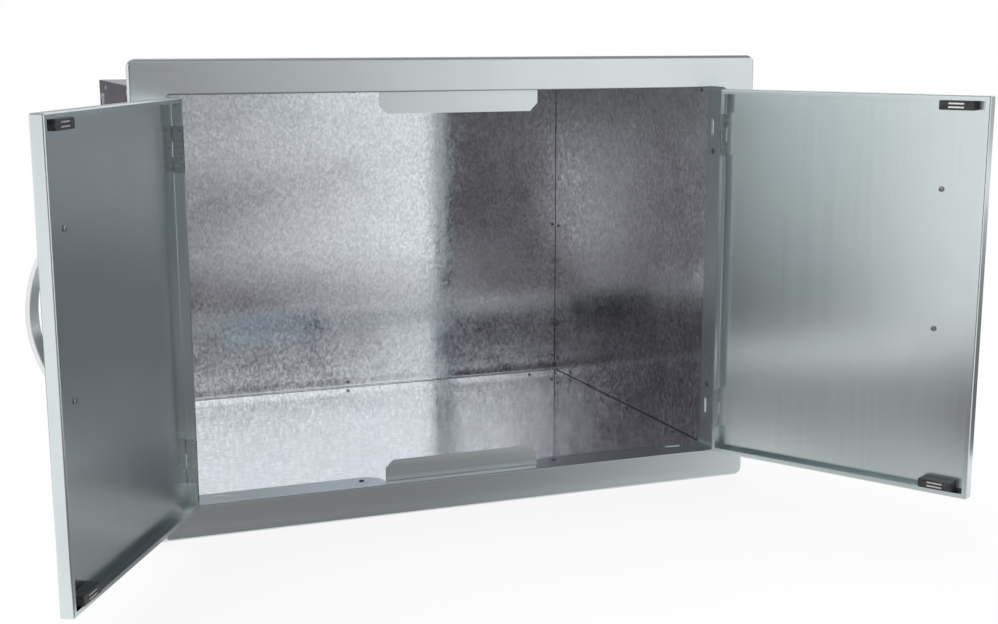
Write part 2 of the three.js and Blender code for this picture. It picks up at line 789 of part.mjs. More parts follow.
function catchMagnet(inward, z) {
  const x = inward * catchPlace;
  const half = (pole.pitch - pole.thickness) / 2 - clearance;
  const foot = poleFoot + pole.thickness / 2 + clearance;
  const roof = housingFace - magnet.wall - clearance;
  return block(x - pole.length / 2, x + pole.length / 2, foot, roof, z - half, z + half);
}

// Each door and its hinges hang in a group of their own at the pins

[['left', -1], ['right', 1]].forEach(([name, side]) => {
  const inward = -side;
  const fixed = new THREE.Group();
  fixed.position.set(side * axisX, axisY, 0);
  cabinet.add(fixed);
  const swinging = new THREE.Group();
  swinging.position.copy(fixed.position);
  swinging.rotation.z = THREE.MathUtils.degToRad(side * doorsOpen);
  cabinet.add(swinging);

  add(swinging, `${name}_door_pan`, doorPan(inward), stainless);
  add(swinging, `${name}_handle`, bowHandle(inward), polished);

  Object.entries(hingeHeights).forEach(([level, z]) => {
    add(fixed, `${name}_${level}_frame_leaf`, frameLeaf(side), stainless).position.z = z;
    add(fixed, `${name}_${level}_hinge_pin`, hingePin(), stainless).position.z = z;
    add(swinging, `${name}_${level}_door_leaf`, doorLeaf(side), stainless).position.z = z;
  });

  const reach = doorHeight / 2 - door.lip - clearance - magnet.width / 2;
  [['upper', 1], ['lower', -1]].forEach(([level, sense]) => {
    const z = middle + sense * reach;
    add(swinging, `${name}_${level}_handle_screw`, handleScrew(inward, sense), rivetMetal);
    add(swinging, `${name}_${level}_catch_housing`, catchHousing(inward, z), blackPlastic);
    add(swinging, `${name}_${level}_pole_yoke`, poleYoke(inward, z), polished);
    add(swinging, `${name}_${level}_catch_magnet`, catchMagnet(inward, z), ferrite);
  });
});

export default cabinet;
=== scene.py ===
"""Looks for a drop-in outdoor kitchen cabinet whose two doors stand open.

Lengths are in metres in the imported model's own frame: X to the right, Y into the island and Z up,
with the origin on the underside of the box, half way across, in the plane of the island's face.
Parts that swing are drawn closed about their own pin and then turned to where the doors stand.
"""
import logging
import math
from dataclasses import dataclass, field
from enum import Enum
from functools import cached_property
from typing import Sequence

import bpy
import numpy as np
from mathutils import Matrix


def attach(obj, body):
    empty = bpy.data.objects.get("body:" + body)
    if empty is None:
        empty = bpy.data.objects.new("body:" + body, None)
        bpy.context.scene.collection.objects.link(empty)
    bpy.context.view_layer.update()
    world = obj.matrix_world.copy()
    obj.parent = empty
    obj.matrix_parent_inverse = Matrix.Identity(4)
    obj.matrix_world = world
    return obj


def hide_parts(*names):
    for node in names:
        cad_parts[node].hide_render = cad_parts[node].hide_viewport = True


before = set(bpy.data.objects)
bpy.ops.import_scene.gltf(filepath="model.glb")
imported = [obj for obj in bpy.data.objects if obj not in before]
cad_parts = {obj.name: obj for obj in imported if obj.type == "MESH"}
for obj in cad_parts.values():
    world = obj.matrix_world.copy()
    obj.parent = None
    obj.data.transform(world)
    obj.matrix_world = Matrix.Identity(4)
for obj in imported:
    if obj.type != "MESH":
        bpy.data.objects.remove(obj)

MM = 0.001
OVERRUN = 5 * MM  # how far a cutter reaches past what it cuts
APART = 1e-7  # less than this lies between two points that are the same
FLAG_HEIGHT = -36 * MM  # the level cards lie just over the floor
PLACE_NAME = "place"
GRAIN_NAME = "grain"
LOG = logging.getLogger("cabinet")
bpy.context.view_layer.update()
Tone = tuple[float, float, float]


class Side(Enum):
    """The cabinet's two halves. The value is the sign of X."""

    LEFT = -1
    RIGHT = 1

    @property
    def word(self) -> str:
        """The side's name as node names spell it."""
        return self.name.lower()


class Level(Enum):
    """Upper or lower one of a pair. The value is the sign of Z."""

    UPPER = 1
    LOWER = -1

    @property
    def word(self) -> str:
        """The level's name as node names spell it."""
        return self.name.lower()


class Grain(Enum):
    """The cabinet's own axis that a brushed surface was polished along."""

    ACROSS = 0
    DEEP = 1
    UPRIGHT = 2


# Surfaces


@dataclass
class Surface:
    """Points and faces of one or more closed skins."""

    points: np.ndarray
    faces: list[np.ndarray]

    @staticmethod
    def joined(parts: "Sequence[Surface]") -> "Surface":
        """Puts several surfaces into one, without welding them.

        Args:
            parts: The surfaces, each with its own point numbers.

        Returns:
            One surface whose point numbers follow on from part to part.
        """
        faces: list[np.ndarray] = []
        count = 0
        for part in parts:
            faces += [group + count for group in part.faces]
            count += len(part.points)
        return Surface(np.vstack([part.points for part in parts]), faces)

    def turned(self, matrix: np.ndarray, shift: Sequence[float] = (0.0, 0.0, 0.0)) -> "Surface":
        """Carries every point by a matrix and a shift.

        Args:
            matrix: A 3 by 3 array whose columns are the new axes.
            shift: What is added after the turn.

        Returns:
            The moved surface, its faces reversed where the matrix mirrors it.
        """
        faces = self.faces if np.linalg.det(matrix) > 0 else [group[:, ::-1] for group in self.faces]
        return Surface(self.points @ np.asarray(matrix, float).T + np.asarray(shift, float), faces)

    def shifted(self, shift: Sequence[float]) -> "Surface":
        """Moves every point by the same amount."""
        return Surface(self.points + np.asarray(shift, float), self.faces)

    def outward(self) -> "Surface":
        """Reverses a single closed skin whose faces look inwards.

        Returns:
            The surface with a positive volume, which is a sixth of the sum, over the triangles
            that fan out in each face, of the corner points' triple products.
        """
        volume = 0.0
        for group in self.faces:
            first = self.points[group[:, 0]]
            for step in range(1, group.shape[1] - 1):
                second, third = self.points[group[:, step]], self.points[group[:, step + 1]]
                volume += float(np.einsum("ij,ij->", first, np.cross(second, third)))
        return self if volume > 0 else Surface(self.points, [group[:, ::-1] for group in self.faces])


def lofted(loops: np.ndarray, closed: bool = False, capped: bool = True) -> Surface:
    """A skin through a row of closed loops.

    Point (i, j) of the grid is point j of loop i. Each quad joins (i, j), (i, j + 1),
    (i + 1, j + 1) and (i + 1, j), and j wraps round.

    Args:
        loops: An array of loops, (rows, columns, 3).
        closed: True where the last loop is joined to the first.
        capped: True where the first and last loops are filled.

    Returns:
        The surface, facing outwards.
    """
    rows, columns = loops.shape[:2]
    last = rows if closed else rows - 1
    row, column = np.meshgrid(np.arange(last), np.arange(columns), indexing="ij")
    ahead, beside = (row + 1) % rows, (column + 1) % columns
    quads = np.stack([row * columns + column, row * columns + beside,
                      ahead * columns + beside, ahead * columns + column], axis=-1)
    faces = [quads.reshape(-1, 4)]
    if capped and not closed:
        ring = np.arange(columns)[None, :]
        faces += [ring[:, ::-1], ring + (rows - 1) * columns]
    return Surface(loops.reshape(-1, 3), faces).outward()


def plate(middle: np.ndarray, normal: np.ndarray, thickness: float) -> Surface:
    """A sheet of even thickness about a curved middle surface.

    Each grid point of the middle surface goes half a thickness along its normal, one way and
    the other, and strips of quads close the four edges.

    Args:
        middle: The middle surface, (rows, columns, 3).
        normal: Its unit normals, of the same shape.
        thickness: The sheet's thickness.

    Returns:
        The closed sheet.
    """
    half = normal * thickness / 2
    low, high = middle - half, middle + half
    loops = np.concatenate([low, high[:, ::-1]], axis=1)
    rows, columns = middle.shape[:2]
    skin = lofted(loops, capped=False)
    rung = np.arange(columns - 1)
    cap = np.stack([rung, rung + 1, 2 * columns - 2 - rung, 2 * columns - 1 - rung], axis=-1)
    far = cap + (rows - 1) * 2 * columns
    return Surface(skin.points, skin.faces + _facing(skin, cap, far)).outward()


def _facing(skin: Surface, near: np.ndarray, far: np.ndarray) -> list[np.ndarray]:
    """Orders two end caps so that their edges run against the skin's own.

    Args:
        skin: The open skin that the caps close.
        near: Quads over the first loop.
        far: Quads over the last loop.

    Returns:
        Both caps, each reversed where it shared an edge's direction with the skin.
    """
    edges = {(int(a), int(b)) for a, b in zip(skin.faces[0][:, 0], skin.faces[0][:, 1])}
    forward = (int(near[0, 0]), int(near[0, 1])) in edges
    return [near[:, ::-1] if forward else near, far if forward else far[:, ::-1]]


def prism(outline: np.ndarray, axis: int, low: float, high: float) -> Surface:
    """A flat outline carried straight along one axis.

    Args:
        outline: Points in the two other axes, in rising order of axis, (n, 2).
        axis: The number of the axis that it is carried along.
        low: Where it starts on that axis.
        high: Where it ends.

    Returns:
        The closed prism.
    """
    others = [number for number in range(3) if number != axis]
    loops = np.zeros((2, len(outline), 3))
    loops[:, :, others] = outline
    loops[0, :, axis] = low
    loops[1, :, axis] = high
    return lofted(loops)


def box(low: Sequence[float], high: Sequence[float]) -> Surface:
    """A box between two corners, given in any order."""
    a, b = np.minimum(low, high), np.maximum(low, high)
    return prism(np.array([[a[0], a[1]], [b[0], a[1]], [b[0], b[1]], [a[0], b[1]]]), 2, a[2], b[2])


def ring(centre: Sequence[float], radius: float, steps: int) -> np.ndarray:
    """Points evenly spaced round a circle, from a full turn of the angle."""
    angle = np.arange(steps) * 2 * math.pi / steps
    return np.stack([centre[0] + radius * np.cos(angle), centre[1] + radius * np.sin(angle)], axis=-1)


def stadium(centre: Sequence[float], length: float, width: float, upright: bool,
            steps: int = 12) -> np.ndarray:
    """A slot's outline: two half circles and the straights between them.

    Args:
        centre: The slot's middle.
        length: Its whole length.
        width: Its width.
        upright: True where the length runs along the second coordinate.
        steps: Segments in each half circle.

    Returns:
        The outline, (2 * steps + 2, 2).
    """
    angle = np.linspace(-math.pi / 2, math.pi / 2, steps + 1)
    half = (length - width) / 2
    end = np.stack([half + width / 2 * np.cos(angle), width / 2 * np.sin(angle)], axis=-1)
    outline = np.vstack([end, -end])
    return outline[:, ::-1] * (-1, 1) + centre if upright else outline + centre


def lathe(profile: np.ndarray, steps: int) -> Surface:
    """A profile turned about the Y axis.

    Point (i, j) is profile point i, at radius r and height h, turned by the j-th even share of a
    full turn: (r cos a, h, r sin a). The two ends of the profile lie on the axis.

    Args:
        profile: Radius and height, (n, 2), with radius zero at both ends.
        steps: Segments in the turn.

    Returns:
        The closed solid of revolution.
    """
    angle = np.arange(steps) * 2 * math.pi / steps
    radius, height = profile[1:-1, 0, None], profile[1:-1, 1, None]
    loops = np.stack([radius * np.cos(angle), np.broadcast_to(height, (len(radius), steps)),
                      radius * np.sin(angle)], axis=-1)
    skin = lofted(loops, capped=False)
    count = len(skin.points)
    index = np.arange(steps)
    beside = (index + 1) % steps
    near = np.stack([index, beside, np.full(steps, count)], axis=-1)
    far = np.stack([index, beside, np.full(steps, count + 1)], axis=-1)
    far[:, :2] += (len(radius) - 1) * steps
    poles = np.array([[0.0, profile[0, 1], 0.0], [0.0, profile[-1, 1], 0.0]])
    caps = _facing(skin, near, far)
    return Surface(np.vstack([skin.points, poles]), skin.faces + caps).outward()


def rounded(path: np.ndarray, radius: float, steps: int) -> np.ndarray:
    """An open path whose corners are rounded to arcs.

    At each corner the two arms' unit vectors a and b meet at the angle t. The arc's centre lies
    radius / sin(t / 2) along their bisector, it starts radius / tan(t / 2) along a, and it turns
    by pi - t.

    Args:
        path: The corner points, (n, 2).
        radius: The arcs' radius.
        steps: Segments in each arc.

    Returns:
        The rounded path.
    """
    corner, back, on = path[1:-1], path[:-2] - path[1:-1], path[2:] - path[1:-1]
    back /= np.linalg.norm(back, axis=1, keepdims=True)
    on /= np.linalg.norm(on, axis=1, keepdims=True)
    half = np.arccos(np.clip(np.einsum("ij,ij->i", back, on), -1, 1)) / 2
    bisector = back + on
    bisector /= np.linalg.norm(bisector, axis=1, keepdims=True)
    centre = corner + bisector * (radius / np.sin(half))[:, None]
    start = corner + back * (radius / np.tan(half))[:, None] - centre
    sense = -np.sign(back[:, 0] * on[:, 1] - back[:, 1] * on[:, 0])
    angle = (sense * (math.pi - 2 * half))[:, None] * np.linspace(0, 1, steps + 1)
    cos, sin = np.cos(angle), np.sin(angle)
    arcs = np.stack([start[:, None, 0] * cos - start[:, None, 1] * sin,
                     start[:, None, 0] * sin + start[:, None, 1] * cos], axis=-1) + centre[:, None]
    return np.vstack([path[:1], arcs.reshape(-1, 2), path[-1:]])


def sideways(path: np.ndarray) -> np.ndarray:
    """Unit normals to the left of a path's own direction.

    The direction at a point is the bisector of the steps into it and out of it, and the normal
    is that direction turned by a quarter, lengthened so that an offset keeps a sheet's thickness.

    Args:
        path: The points, (n, 2).

    Returns:
        The normals, (n, 2).
    """
    step = np.diff(path, axis=0)
    step /= np.linalg.norm(step, axis=1, keepdims=True)
    arriving, leaving = np.vstack([step[:1], step]), np.vstack([step, step[-1:]])
    along = arriving + leaving
    along /= np.linalg.norm(along, axis=1, keepdims=True)
    lengthened = 1 / np.einsum("ij,ij->i", along, arriving)
    return np.stack([-along[:, 1], along[:, 0]], axis=-1) * lengthened[:, None]


def ribbon(path: np.ndarray, thickness: float) -> np.ndarray:
    """The closed section of a sheet whose middle line is an open path."""
    offset = sideways(path) * thickness / 2
    return np.vstack([path + offset, (path - offset)[::-1]])


@dataclass(frozen=True)
class Outline:
    """An upright rectangle with round corners, centred on its own origin."""

    width: float
    height: float
    corner: float
    least: float = 0.3 * MM
    steps: int = 8

    def loops(self, inset: np.ndarray, depth: np.ndarray) -> np.ndarray:
        """Loops drawn in from the outline and set back along Y.

        Point (i, j) lies on loop i, whose corner radius is the outline's less inset i. Its angle
        runs through four quarter turns, each about that corner's own centre.

        Args:
            inset: How far each loop is drawn in.
            depth: Each loop's Y.

        Returns:
            The loops, (rows, columns, 3).
        """
        quarter = np.repeat(np.arange(4), self.steps + 1)
        angle = (quarter + np.tile(np.arange(self.steps + 1) / self.steps, 4)) * math.pi / 2
        side = np.where((quarter == 0) | (quarter == 3), 1, -1)
        level = np.where(quarter < 2, 1, -1)
        radius = np.maximum(self.corner - inset, self.least)[:, None]
        x = side * (self.width / 2 - inset[:, None] - radius) + radius * np.cos(angle)
        z = level * (self.height / 2 - inset[:, None] - radius) + radius * np.sin(angle)
        return np.stack([x, np.broadcast_to(depth[:, None], x.shape), z], axis=-1)


@dataclass
class Section:
    """A bent sheet's section, gathered as insets from an outline and depths along Y."""

    insets: list[np.ndarray] = field(default_factory=list)
    depths: list[np.ndarray] = field(default_factory=list)

    def at(self, inset: float, depth: float) -> "Section":
        """Adds one corner of the section.

        Args:
            inset: The corner's inset.
            depth: Its Y.

        Returns:
            This section.
        """
        self.insets.append(np.array([inset]))
        self.depths.append(np.array([depth]))
        return self

    def bend(self, inset: float, depth: float, radius: float, start: float, end: float,
             steps: int = 8) -> "Section":
        """Adds an arc about a bend's centre.

        The angle counts quarter turns from 0, straight out to the outline: 1 is straight to the
        front, 2 straight in and -1 straight to the rear.

        Args:
            inset: The centre's inset.
            depth: The centre's Y.
            radius: The arc's radius.
            start: Its first angle.
            end: Its last angle.
            steps: Segments in the arc.

        Returns:
            This section.
        """
        angle = np.linspace(start, end, steps + 1) * math.pi / 2
        self.insets.append(inset - radius * np.cos(angle))
        self.depths.append(depth - radius * np.sin(angle))
        return self

    def swept(self, outline: Outline) -> np.ndarray:
        """Carries the section round an outline."""
        return outline.loops(np.concatenate(self.insets), np.concatenate(self.depths))


def _as_object(surface: Surface, name: str) -> bpy.types.Object:
    """Puts a surface into a mesh object in the scene.

    Args:
        surface: What the mesh is made from.
        name: The name of the object and of its mesh.

    Returns:
        The object.
    """
    mesh = bpy.data.meshes.new(name)
    faces = [face for group in surface.faces for face in group.tolist()]
    mesh.from_pydata(surface.points.tolist(), [], faces)
    mesh.update()
    made = bpy.data.objects.new(name, mesh)
    bpy.context.scene.collection.objects.link(made)
    return made


def carved(body: Surface, cutters: Sequence[Surface]) -> Surface:
    """Cuts closed shapes out of a body.

    Args:
        body: One closed skin.
        cutters: Closed shapes that don't meet each other.

    Returns:
        What is left of the body.
    """
    base, tool = _as_object(body, "base"), _as_object(Surface.joined(cutters), "tool")
    cut = base.modifiers.new("cut", "BOOLEAN")
    cut.operation, cut.object, cut.solver = "DIFFERENCE", tool, "MANIFOLD"
    bpy.context.view_layer.update()
    left = base.evaluated_get(bpy.context.evaluated_depsgraph_get()).to_mesh()
    points = np.empty(len(left.vertices) * 3)
    left.vertices.foreach_get("co", points)
    corners = np.empty(len(left.loops), int)
    left.loops.foreach_get("vertex_index", corners)
    starts, totals = np.empty(len(left.polygons), int), np.empty(len(left.polygons), int)
    left.polygons.foreach_get("loop_start", starts)
    left.polygons.foreach_get("loop_total", totals)
    faces = [corners[starts[totals == total][:, None] + np.arange(total)] for total in np.unique(totals)]
    for spent in (base, tool):
        mesh = spent.data
        bpy.data.objects.remove(spent)
        bpy.data.meshes.remove(mesh)
    return Surface(points.reshape(-1, 3), faces)


# Finishes


class Nodes:
    """A short way to write the node tree of a material or a world."""

    def __init__(self, owner: bpy.types.Material | bpy.types.World) -> None:
        """Turns the owner's nodes on.

        Args:
            owner: What the tree belongs to.
        """
        owner.use_nodes = True
        self.owner = owner
        self.tree = owner.node_tree

    def add(self, kind: str, inputs: dict | None = None, **settings: object) -> bpy.types.Node:
        """Adds a node, sets its properties and feeds its sockets.

        Args:
            kind: The node's type, without the ShaderNode prefix.
            inputs: Values or output sockets, by socket name or number.
            **settings: The node's own properties.

        Returns:
            The node.
        """
        node = self.tree.nodes.new("ShaderNode" + kind)
        for key, value in settings.items():
            setattr(node, key, value)
        self.feed(node, inputs or {})
        return node

    def feed(self, node: bpy.types.Node, inputs: dict) -> None:
        """Links output sockets to a node's inputs, or sets the inputs' own values.

        Args:
            node: The node to feed.
            inputs: Values or output sockets, by socket name or number.
        """
        for key, value in inputs.items():
            if isinstance(value, bpy.types.NodeSocket):
                self.tree.links.new(value, node.inputs[key])
            else:
                node.inputs[key].default_value = value

    def own(self, kind: str) -> bpy.types.Node:
        """The node of a type that the tree already has."""
        return next(node for node in self.tree.nodes if node.type == kind)

    def dressed(self, inputs: dict) -> bpy.types.Material:
        """Feeds the Principled shader's sockets and hands the material over."""
        self.feed(self.own("BSDF_PRINCIPLED"), inputs)
        return self.owner

    def unturned(self) -> bpy.types.NodeSocket:
        """The place that a point had before its piece was turned and shifted."""
        return self.add("Attribute", attribute_name=PLACE_NAME).outputs["Vector"]

    def maths(self, operation: str, *values: object) -> bpy.types.NodeSocket:
        """The result of a Math node on up to three values."""
        return self.add("Math", dict(enumerate(values)), operation=operation).outputs[0]

    def vectors(self, operation: str, *values: object) -> bpy.types.NodeSocket:
        """The vector result of a Vector Math node on its values."""
        return self.add("VectorMath", dict(enumerate(values)), operation=operation).outputs[0]

    def centred(self, colour: object, scale: float) -> bpy.types.NodeSocket:
        """A random colour as a vector about zero, at a scale."""
        about = self.vectors("SUBTRACT", colour, (0.5, 0.5, 0.5))
        return self.add("VectorMath", {0: about, "Scale": scale}, operation="SCALE").outputs[0]

    def clouds(self, place: object, scale: float, detail: float = 3.0,
               roughness: float = 0.5) -> bpy.types.Node:
        """A noise node at a place, which has a value and a colour."""
        sockets = {"Vector": place, "Scale": scale, "Detail": detail, "Roughness": roughness}
        return self.add("TexNoise", sockets)

    def noise(self, place: object, scale: float, detail: float = 3.0,
              roughness: float = 0.5) -> bpy.types.NodeSocket:
        """A noise value from 0 to 1 at a place."""
        return self.clouds(place, scale, detail, roughness).outputs["Fac"]

    def spread(self, value: object, low: float, high: float, start: float = 0.0,
               end: float = 1.0) -> bpy.types.NodeSocket:
        """Maps a value from start and end to low and high, without going past them."""
        sockets = {"Value": value, "From Min": start, "From Max": end, "To Min": low, "To Max": high}
        return self.add("MapRange", sockets, clamp=True).outputs["Result"]

    def tint(self, factor: object, first: object, second: object) -> bpy.types.NodeSocket:
        """Mixes two colours, each a socket or three numbers, by a factor."""
        first, second = (value if isinstance(value, bpy.types.NodeSocket) else (*value, 1.0)
                         for value in (first, second))
        return self.add("Mix", {0: factor, 6: first, 7: second}, data_type="RGBA").outputs[2]

    def stretched(self, place: object, scale: Sequence[float]) -> bpy.types.NodeSocket:
        """A place whose three coordinates are scaled one by one."""
        return self.add("Mapping", {"Vector": place, "Scale": tuple(scale)}).outputs[0]

    def relief(self, height: object, distance: float, below: object = None) -> bpy.types.NodeSocket:
        """A bumped normal from a height.

        Args:
            height: The height's socket.
            distance: How far the bump rises where the height is 1.
            below: Another normal for the bump to lie on, if there is one.

        Returns:
            The normal.
        """
        sockets = {"Height": height, "Distance": distance}
        if below is not None:
            sockets["Normal"] = below
        return self.add("Bump", sockets).outputs[0]


@dataclass(frozen=True)
class BrushedSteel:
    """Satin stainless: fine straight polishing lines, broader bands and a slight waviness."""

    name: str
    grain: Grain
    tone: Tone = (0.695, 0.75, 0.765)
    roughness: float = 0.22
    anisotropy: float = 0.7
    line_scales: tuple[float, float] = (1900.0, 14.0)
    band_scales: tuple[float, float] = (260.0, 3.0)
    band_share: float = 0.4
    dark_share: float = 0.965
    light_share: float = 1.03
    uneven: float = 0.01
    mark_scale: float = 9.0
    wave_scale: float = 3.2
    wave_height: float = 0.5 * MM
    quarter_turn: float = 0.25

    def streaks(self, nodes: Nodes, scales: tuple[float, float], roughness: float) -> bpy.types.NodeSocket:
        """Noise drawn out along the polishing lines.

        Args:
            nodes: The material's tree.
            scales: Its scale across the lines and the far smaller one along them.
            roughness: How much of the finer noise it has.

        Returns:
            The noise's value.
        """
        axes = [scales[0]] * 3
        axes[self.grain.value] = scales[1]
        return nodes.noise(nodes.stretched(nodes.unturned(), axes), 1.0, 2.0, roughness)

    def material(self) -> bpy.types.Material:
        """Builds the material.

        Lines and bands are noise drawn out along the polishing lines. They move the tone, the
        bands and a few handling marks move the roughness, and a slow bump bends the reflections.

        Returns:
            The material, which reads the piece's own attribute of places before it was turned.
        """
        nodes = Nodes(bpy.data.materials.new(self.name))
        lines = self.streaks(nodes, self.line_scales, 0.6)
        bands = self.streaks(nodes, self.band_scales, 0.5)
        place = nodes.unturned()
        marks = nodes.noise(place, self.mark_scale, 4.0, 0.6)
        mixed = nodes.maths("ADD", nodes.maths("MULTIPLY", lines, 1 - self.band_share),
                            nodes.maths("MULTIPLY", bands, self.band_share))
        dark = tuple(self.dark_share * part for part in self.tone)
        light = tuple(min(self.light_share * part, 1.0) for part in self.tone)
        smooth, rough = self.roughness - self.uneven, self.roughness + self.uneven
        return nodes.dressed({
            "Base Color": nodes.tint(nodes.spread(mixed, 0, 1, 0.3, 0.7), dark, light),
            "Roughness": nodes.maths("ADD", nodes.spread(bands, smooth, rough, 0.3, 0.7),
                                     nodes.spread(marks, -self.uneven, 2 * self.uneven, 0.35, 0.75)),
            "Normal": nodes.relief(nodes.noise(place, self.wave_scale, 1.0, 0.4), self.wave_height),
            "Metallic": 1.0,
            "Anisotropic": self.anisotropy,
            "Anisotropic Rotation": self.quarter_turn,
            "Tangent": nodes.add("Tangent", direction_type="UV_MAP", uv_map=GRAIN_NAME).outputs[0],
        })


@dataclass(frozen=True)
class Galvanised:
    """Hot-dipped zinc: small ragged spangles, each with its own tone and its own slight tilt.

    A shaded seam is an axis number and how far from the middle, on that axis, a painted shade
    line runs in the inside corner where another sheet meets this one.
    """

    name: str
    light: Tone = (0.90, 0.945, 0.985)
    dark: Tone = (0.63, 0.675, 0.72)
    roughness: float = 0.1
    tilt: float = 0.016
    ripple: float = 0.0
    stretch: tuple[float, float, float] = (1.0, 1.0, 0.7)
    # The next three fields draw painted shade: a near-black line in each inside corner where sheets meet.
    seams: tuple[tuple[int, float], ...] = ()
    shade_reach: float = 1.6 * MM
    seam_shade_tone: Tone = (0.03, 0.03, 0.033)
    spangle: float = 2.9 * MM
    ragged_scale: float = 420.0
    ragged: float = 3.5 * MM
    cell_share: float = 0.34
    cloud_scale: float = 16.0
    cloud_share: float = 0.12
    wave_scale: float = 5.0
    wave_height: float = 0.5 * MM
    ripple_scale: float = 110.0

    def seam_shaded(self, nodes: Nodes, place: bpy.types.NodeSocket,
               paint: bpy.types.NodeSocket) -> bpy.types.NodeSocket:
        """Paints a shade line into a colour wherever a place lies within reach of a seam, on either side.

        Args:
            nodes: The material's tree.
            place: The place that is read.
            paint: The colour away from any seam.

        Returns:
            The colour with the painted shade lines in it.
        """
        axes = nodes.add("SeparateXYZ", {0: place}).outputs
        for axis, distance in self.seams:
            off = nodes.maths("SUBTRACT", nodes.maths("ABSOLUTE", axes[axis]), distance)
            near = nodes.maths("LESS_THAN", nodes.maths("ABSOLUTE", off), self.shade_reach)
            paint = nodes.tint(near, paint, self.seam_shade_tone)
        return paint

    def normal(self, nodes: Nodes, place: bpy.types.NodeSocket,
               spangles: bpy.types.NodeSocket) -> bpy.types.NodeSocket:
        """A slow wave and a ripple as bumps, leaned by each spangle's own tilt.

        Args:
            nodes: The material's tree.
            place: The place that is read.
            spangles: A random colour for each spangle.

        Returns:
            The normal.
        """
        wave = nodes.relief(nodes.noise(place, self.wave_scale, 2.0, 0.5), self.wave_height)
        if self.ripple:
            wave = nodes.relief(nodes.noise(place, self.ripple_scale, 2.0, 0.5), self.ripple, wave)
        return nodes.vectors("NORMALIZE", nodes.vectors("ADD", wave, nodes.centred(spangles, self.tilt)))

    def material(self) -> bpy.types.Material:
        """Builds the material.

        The spangles are cells on places that noise has pushed about, and a finer noise lies over
        them. Both set the tone and tilt the normal, and wide clouds move tone and roughness.

        Returns:
            The material, which reads Object coordinates.
        """
        nodes = Nodes(bpy.data.materials.new(self.name))
        place = nodes.add("TexCoord").outputs["Object"]
        drawn = nodes.stretched(place, self.stretch)
        push = nodes.clouds(drawn, self.ragged_scale, 2.0).outputs["Color"]
        pushed = nodes.vectors("ADD", drawn, nodes.centred(push, self.ragged))
        cells = nodes.add("TexVoronoi", {"Vector": pushed, "Scale": 1 / self.spangle}).outputs["Color"]
        fine = nodes.clouds(drawn, 0.8 / self.spangle, 3.0, 0.65).outputs
        share = nodes.add("SeparateColor", {0: cells}).outputs
        cloud = nodes.noise(place, self.cloud_scale, 3.0, 0.55)
        grain = nodes.maths("ADD", nodes.spread(share[0], 0.0, self.cell_share),
                            nodes.spread(fine["Fac"], 0.0, 1 - self.cell_share, 0.36, 0.64))
        value = nodes.maths("ADD", grain, nodes.spread(cloud, -self.cloud_share, self.cloud_share, 0.3, 0.7))
        rough = nodes.spread(share[1], self.roughness - 0.03, self.roughness + 0.05, 0.2, 0.8)
        return nodes.dressed({
            # The spangled colour, with painted shade lines in the corners where sheets meet.
            "Base Color": self.seam_shaded(nodes, place, nodes.tint(value, self.dark, self.light)),
            "Roughness": nodes.maths("ADD", rough, nodes.spread(cloud, -0.02, 0.03, 0.3, 0.7)),
            "Metallic": 1.0,
            "Normal": self.normal(nodes, place, nodes.tint(0.5, cells, fine["Color"])),
        })


@dataclass(frozen=True)
class TurnedMetal:
    """Small bright hardware: fine crossed scratches over grubby and clean patches."""

    name: str
    tone: Tone
    roughness: float
    scratches: float = 0.3
    one_way: tuple[float, float, float] = (2600.0, 300.0, 500.0)
    other_way: tuple[float, float, float] = (400.0, 900.0, 2300.0)
    grime_scale: float = 240.0
    grime_share: float = 0.72
    uneven: float = 0.05
    scratch_roughness: float = 0.12
    scratch_height: float = 0.03 * MM

    def material(self) -> bpy.types.Material:
        """Builds the material.

        Returns:
            The material, whose scratches are two crossed sets of stretched noise.
        """
        nodes = Nodes(bpy.data.materials.new(self.name))
        place = nodes.unturned()
        one, other = (nodes.noise(nodes.stretched(place, scales), 1.0, 3.0, 0.6)
                      for scales in (self.one_way, self.other_way))
        marks = nodes.maths("MULTIPLY", one, other)
        grime = nodes.spread(nodes.noise(place, self.grime_scale, 3.0, 0.6), 0, 1, 0.3, 0.55)
        roughest = self.roughness + self.scratch_roughness * self.scratches + self.uneven
        return nodes.dressed({
            "Base Color": nodes.tint(grime, tuple(self.grime_share * part for part in self.tone), self.tone),
            "Roughness": nodes.spread(marks, self.roughness - self.uneven, roughest, 0.1, 0.5),
            "Normal": nodes.relief(marks, self.scratch_height * self.scratches),
            "Metallic": 1.0,
        })


@dataclass(frozen=True)
class Moulded:
    """Dark moulded plastic or pressed ferrite with a fine sparked texture."""

    name: str
    tone: Tone = (0.038, 0.038, 0.04)
    roughness: float = 0.42
    pebble: float = 0.5 * MM
    pebble_height: float = 0.06 * MM
    dust_scale: float = 260.0
    dust_gain: float = 2.6
    dust_tone: float = 0.02

    def material(self) -> bpy.types.Material:
        """Builds the material.

        Returns:
            The material, with a pebbled bump and dusty, scuffed patches.
        """
        nodes = Nodes(bpy.data.materials.new(self.name))
        place = nodes.unturned()
        dust = nodes.noise(place, self.dust_scale, 4.0, 0.65)
        pale = tuple(self.dust_gain * part + self.dust_tone for part in self.tone)
        return nodes.dressed({
            "Base Color": nodes.tint(nodes.spread(dust, 0, 1, 0.45, 0.8), self.tone, pale),
            "Roughness": nodes.spread(dust, self.roughness - 0.08, self.roughness + 0.18, 0.3, 0.7),
            "Normal": nodes.relief(nodes.noise(place, 1 / self.pebble, 2.0, 0.6), self.pebble_height),
        })


# Pieces


@dataclass(frozen=True)
class Seat:
    """Where a group of pieces is drawn: about its own origin, then turned about Z and shifted."""

    shift: tuple[float, float, float] = (0.0, 0.0, 0.0)
    degrees: float = 0.0

    @cached_property
    def matrix(self) -> np.ndarray:
        """The turn about Z.

        Returns:
            The turn as a matrix, 3 by 3.
        """
        angle = math.radians(self.degrees)
        cos, sin = math.cos(angle), math.sin(angle)
        return np.array([[cos, -sin, 0.0], [sin, cos, 0.0], [0.0, 0.0, 1.0]])


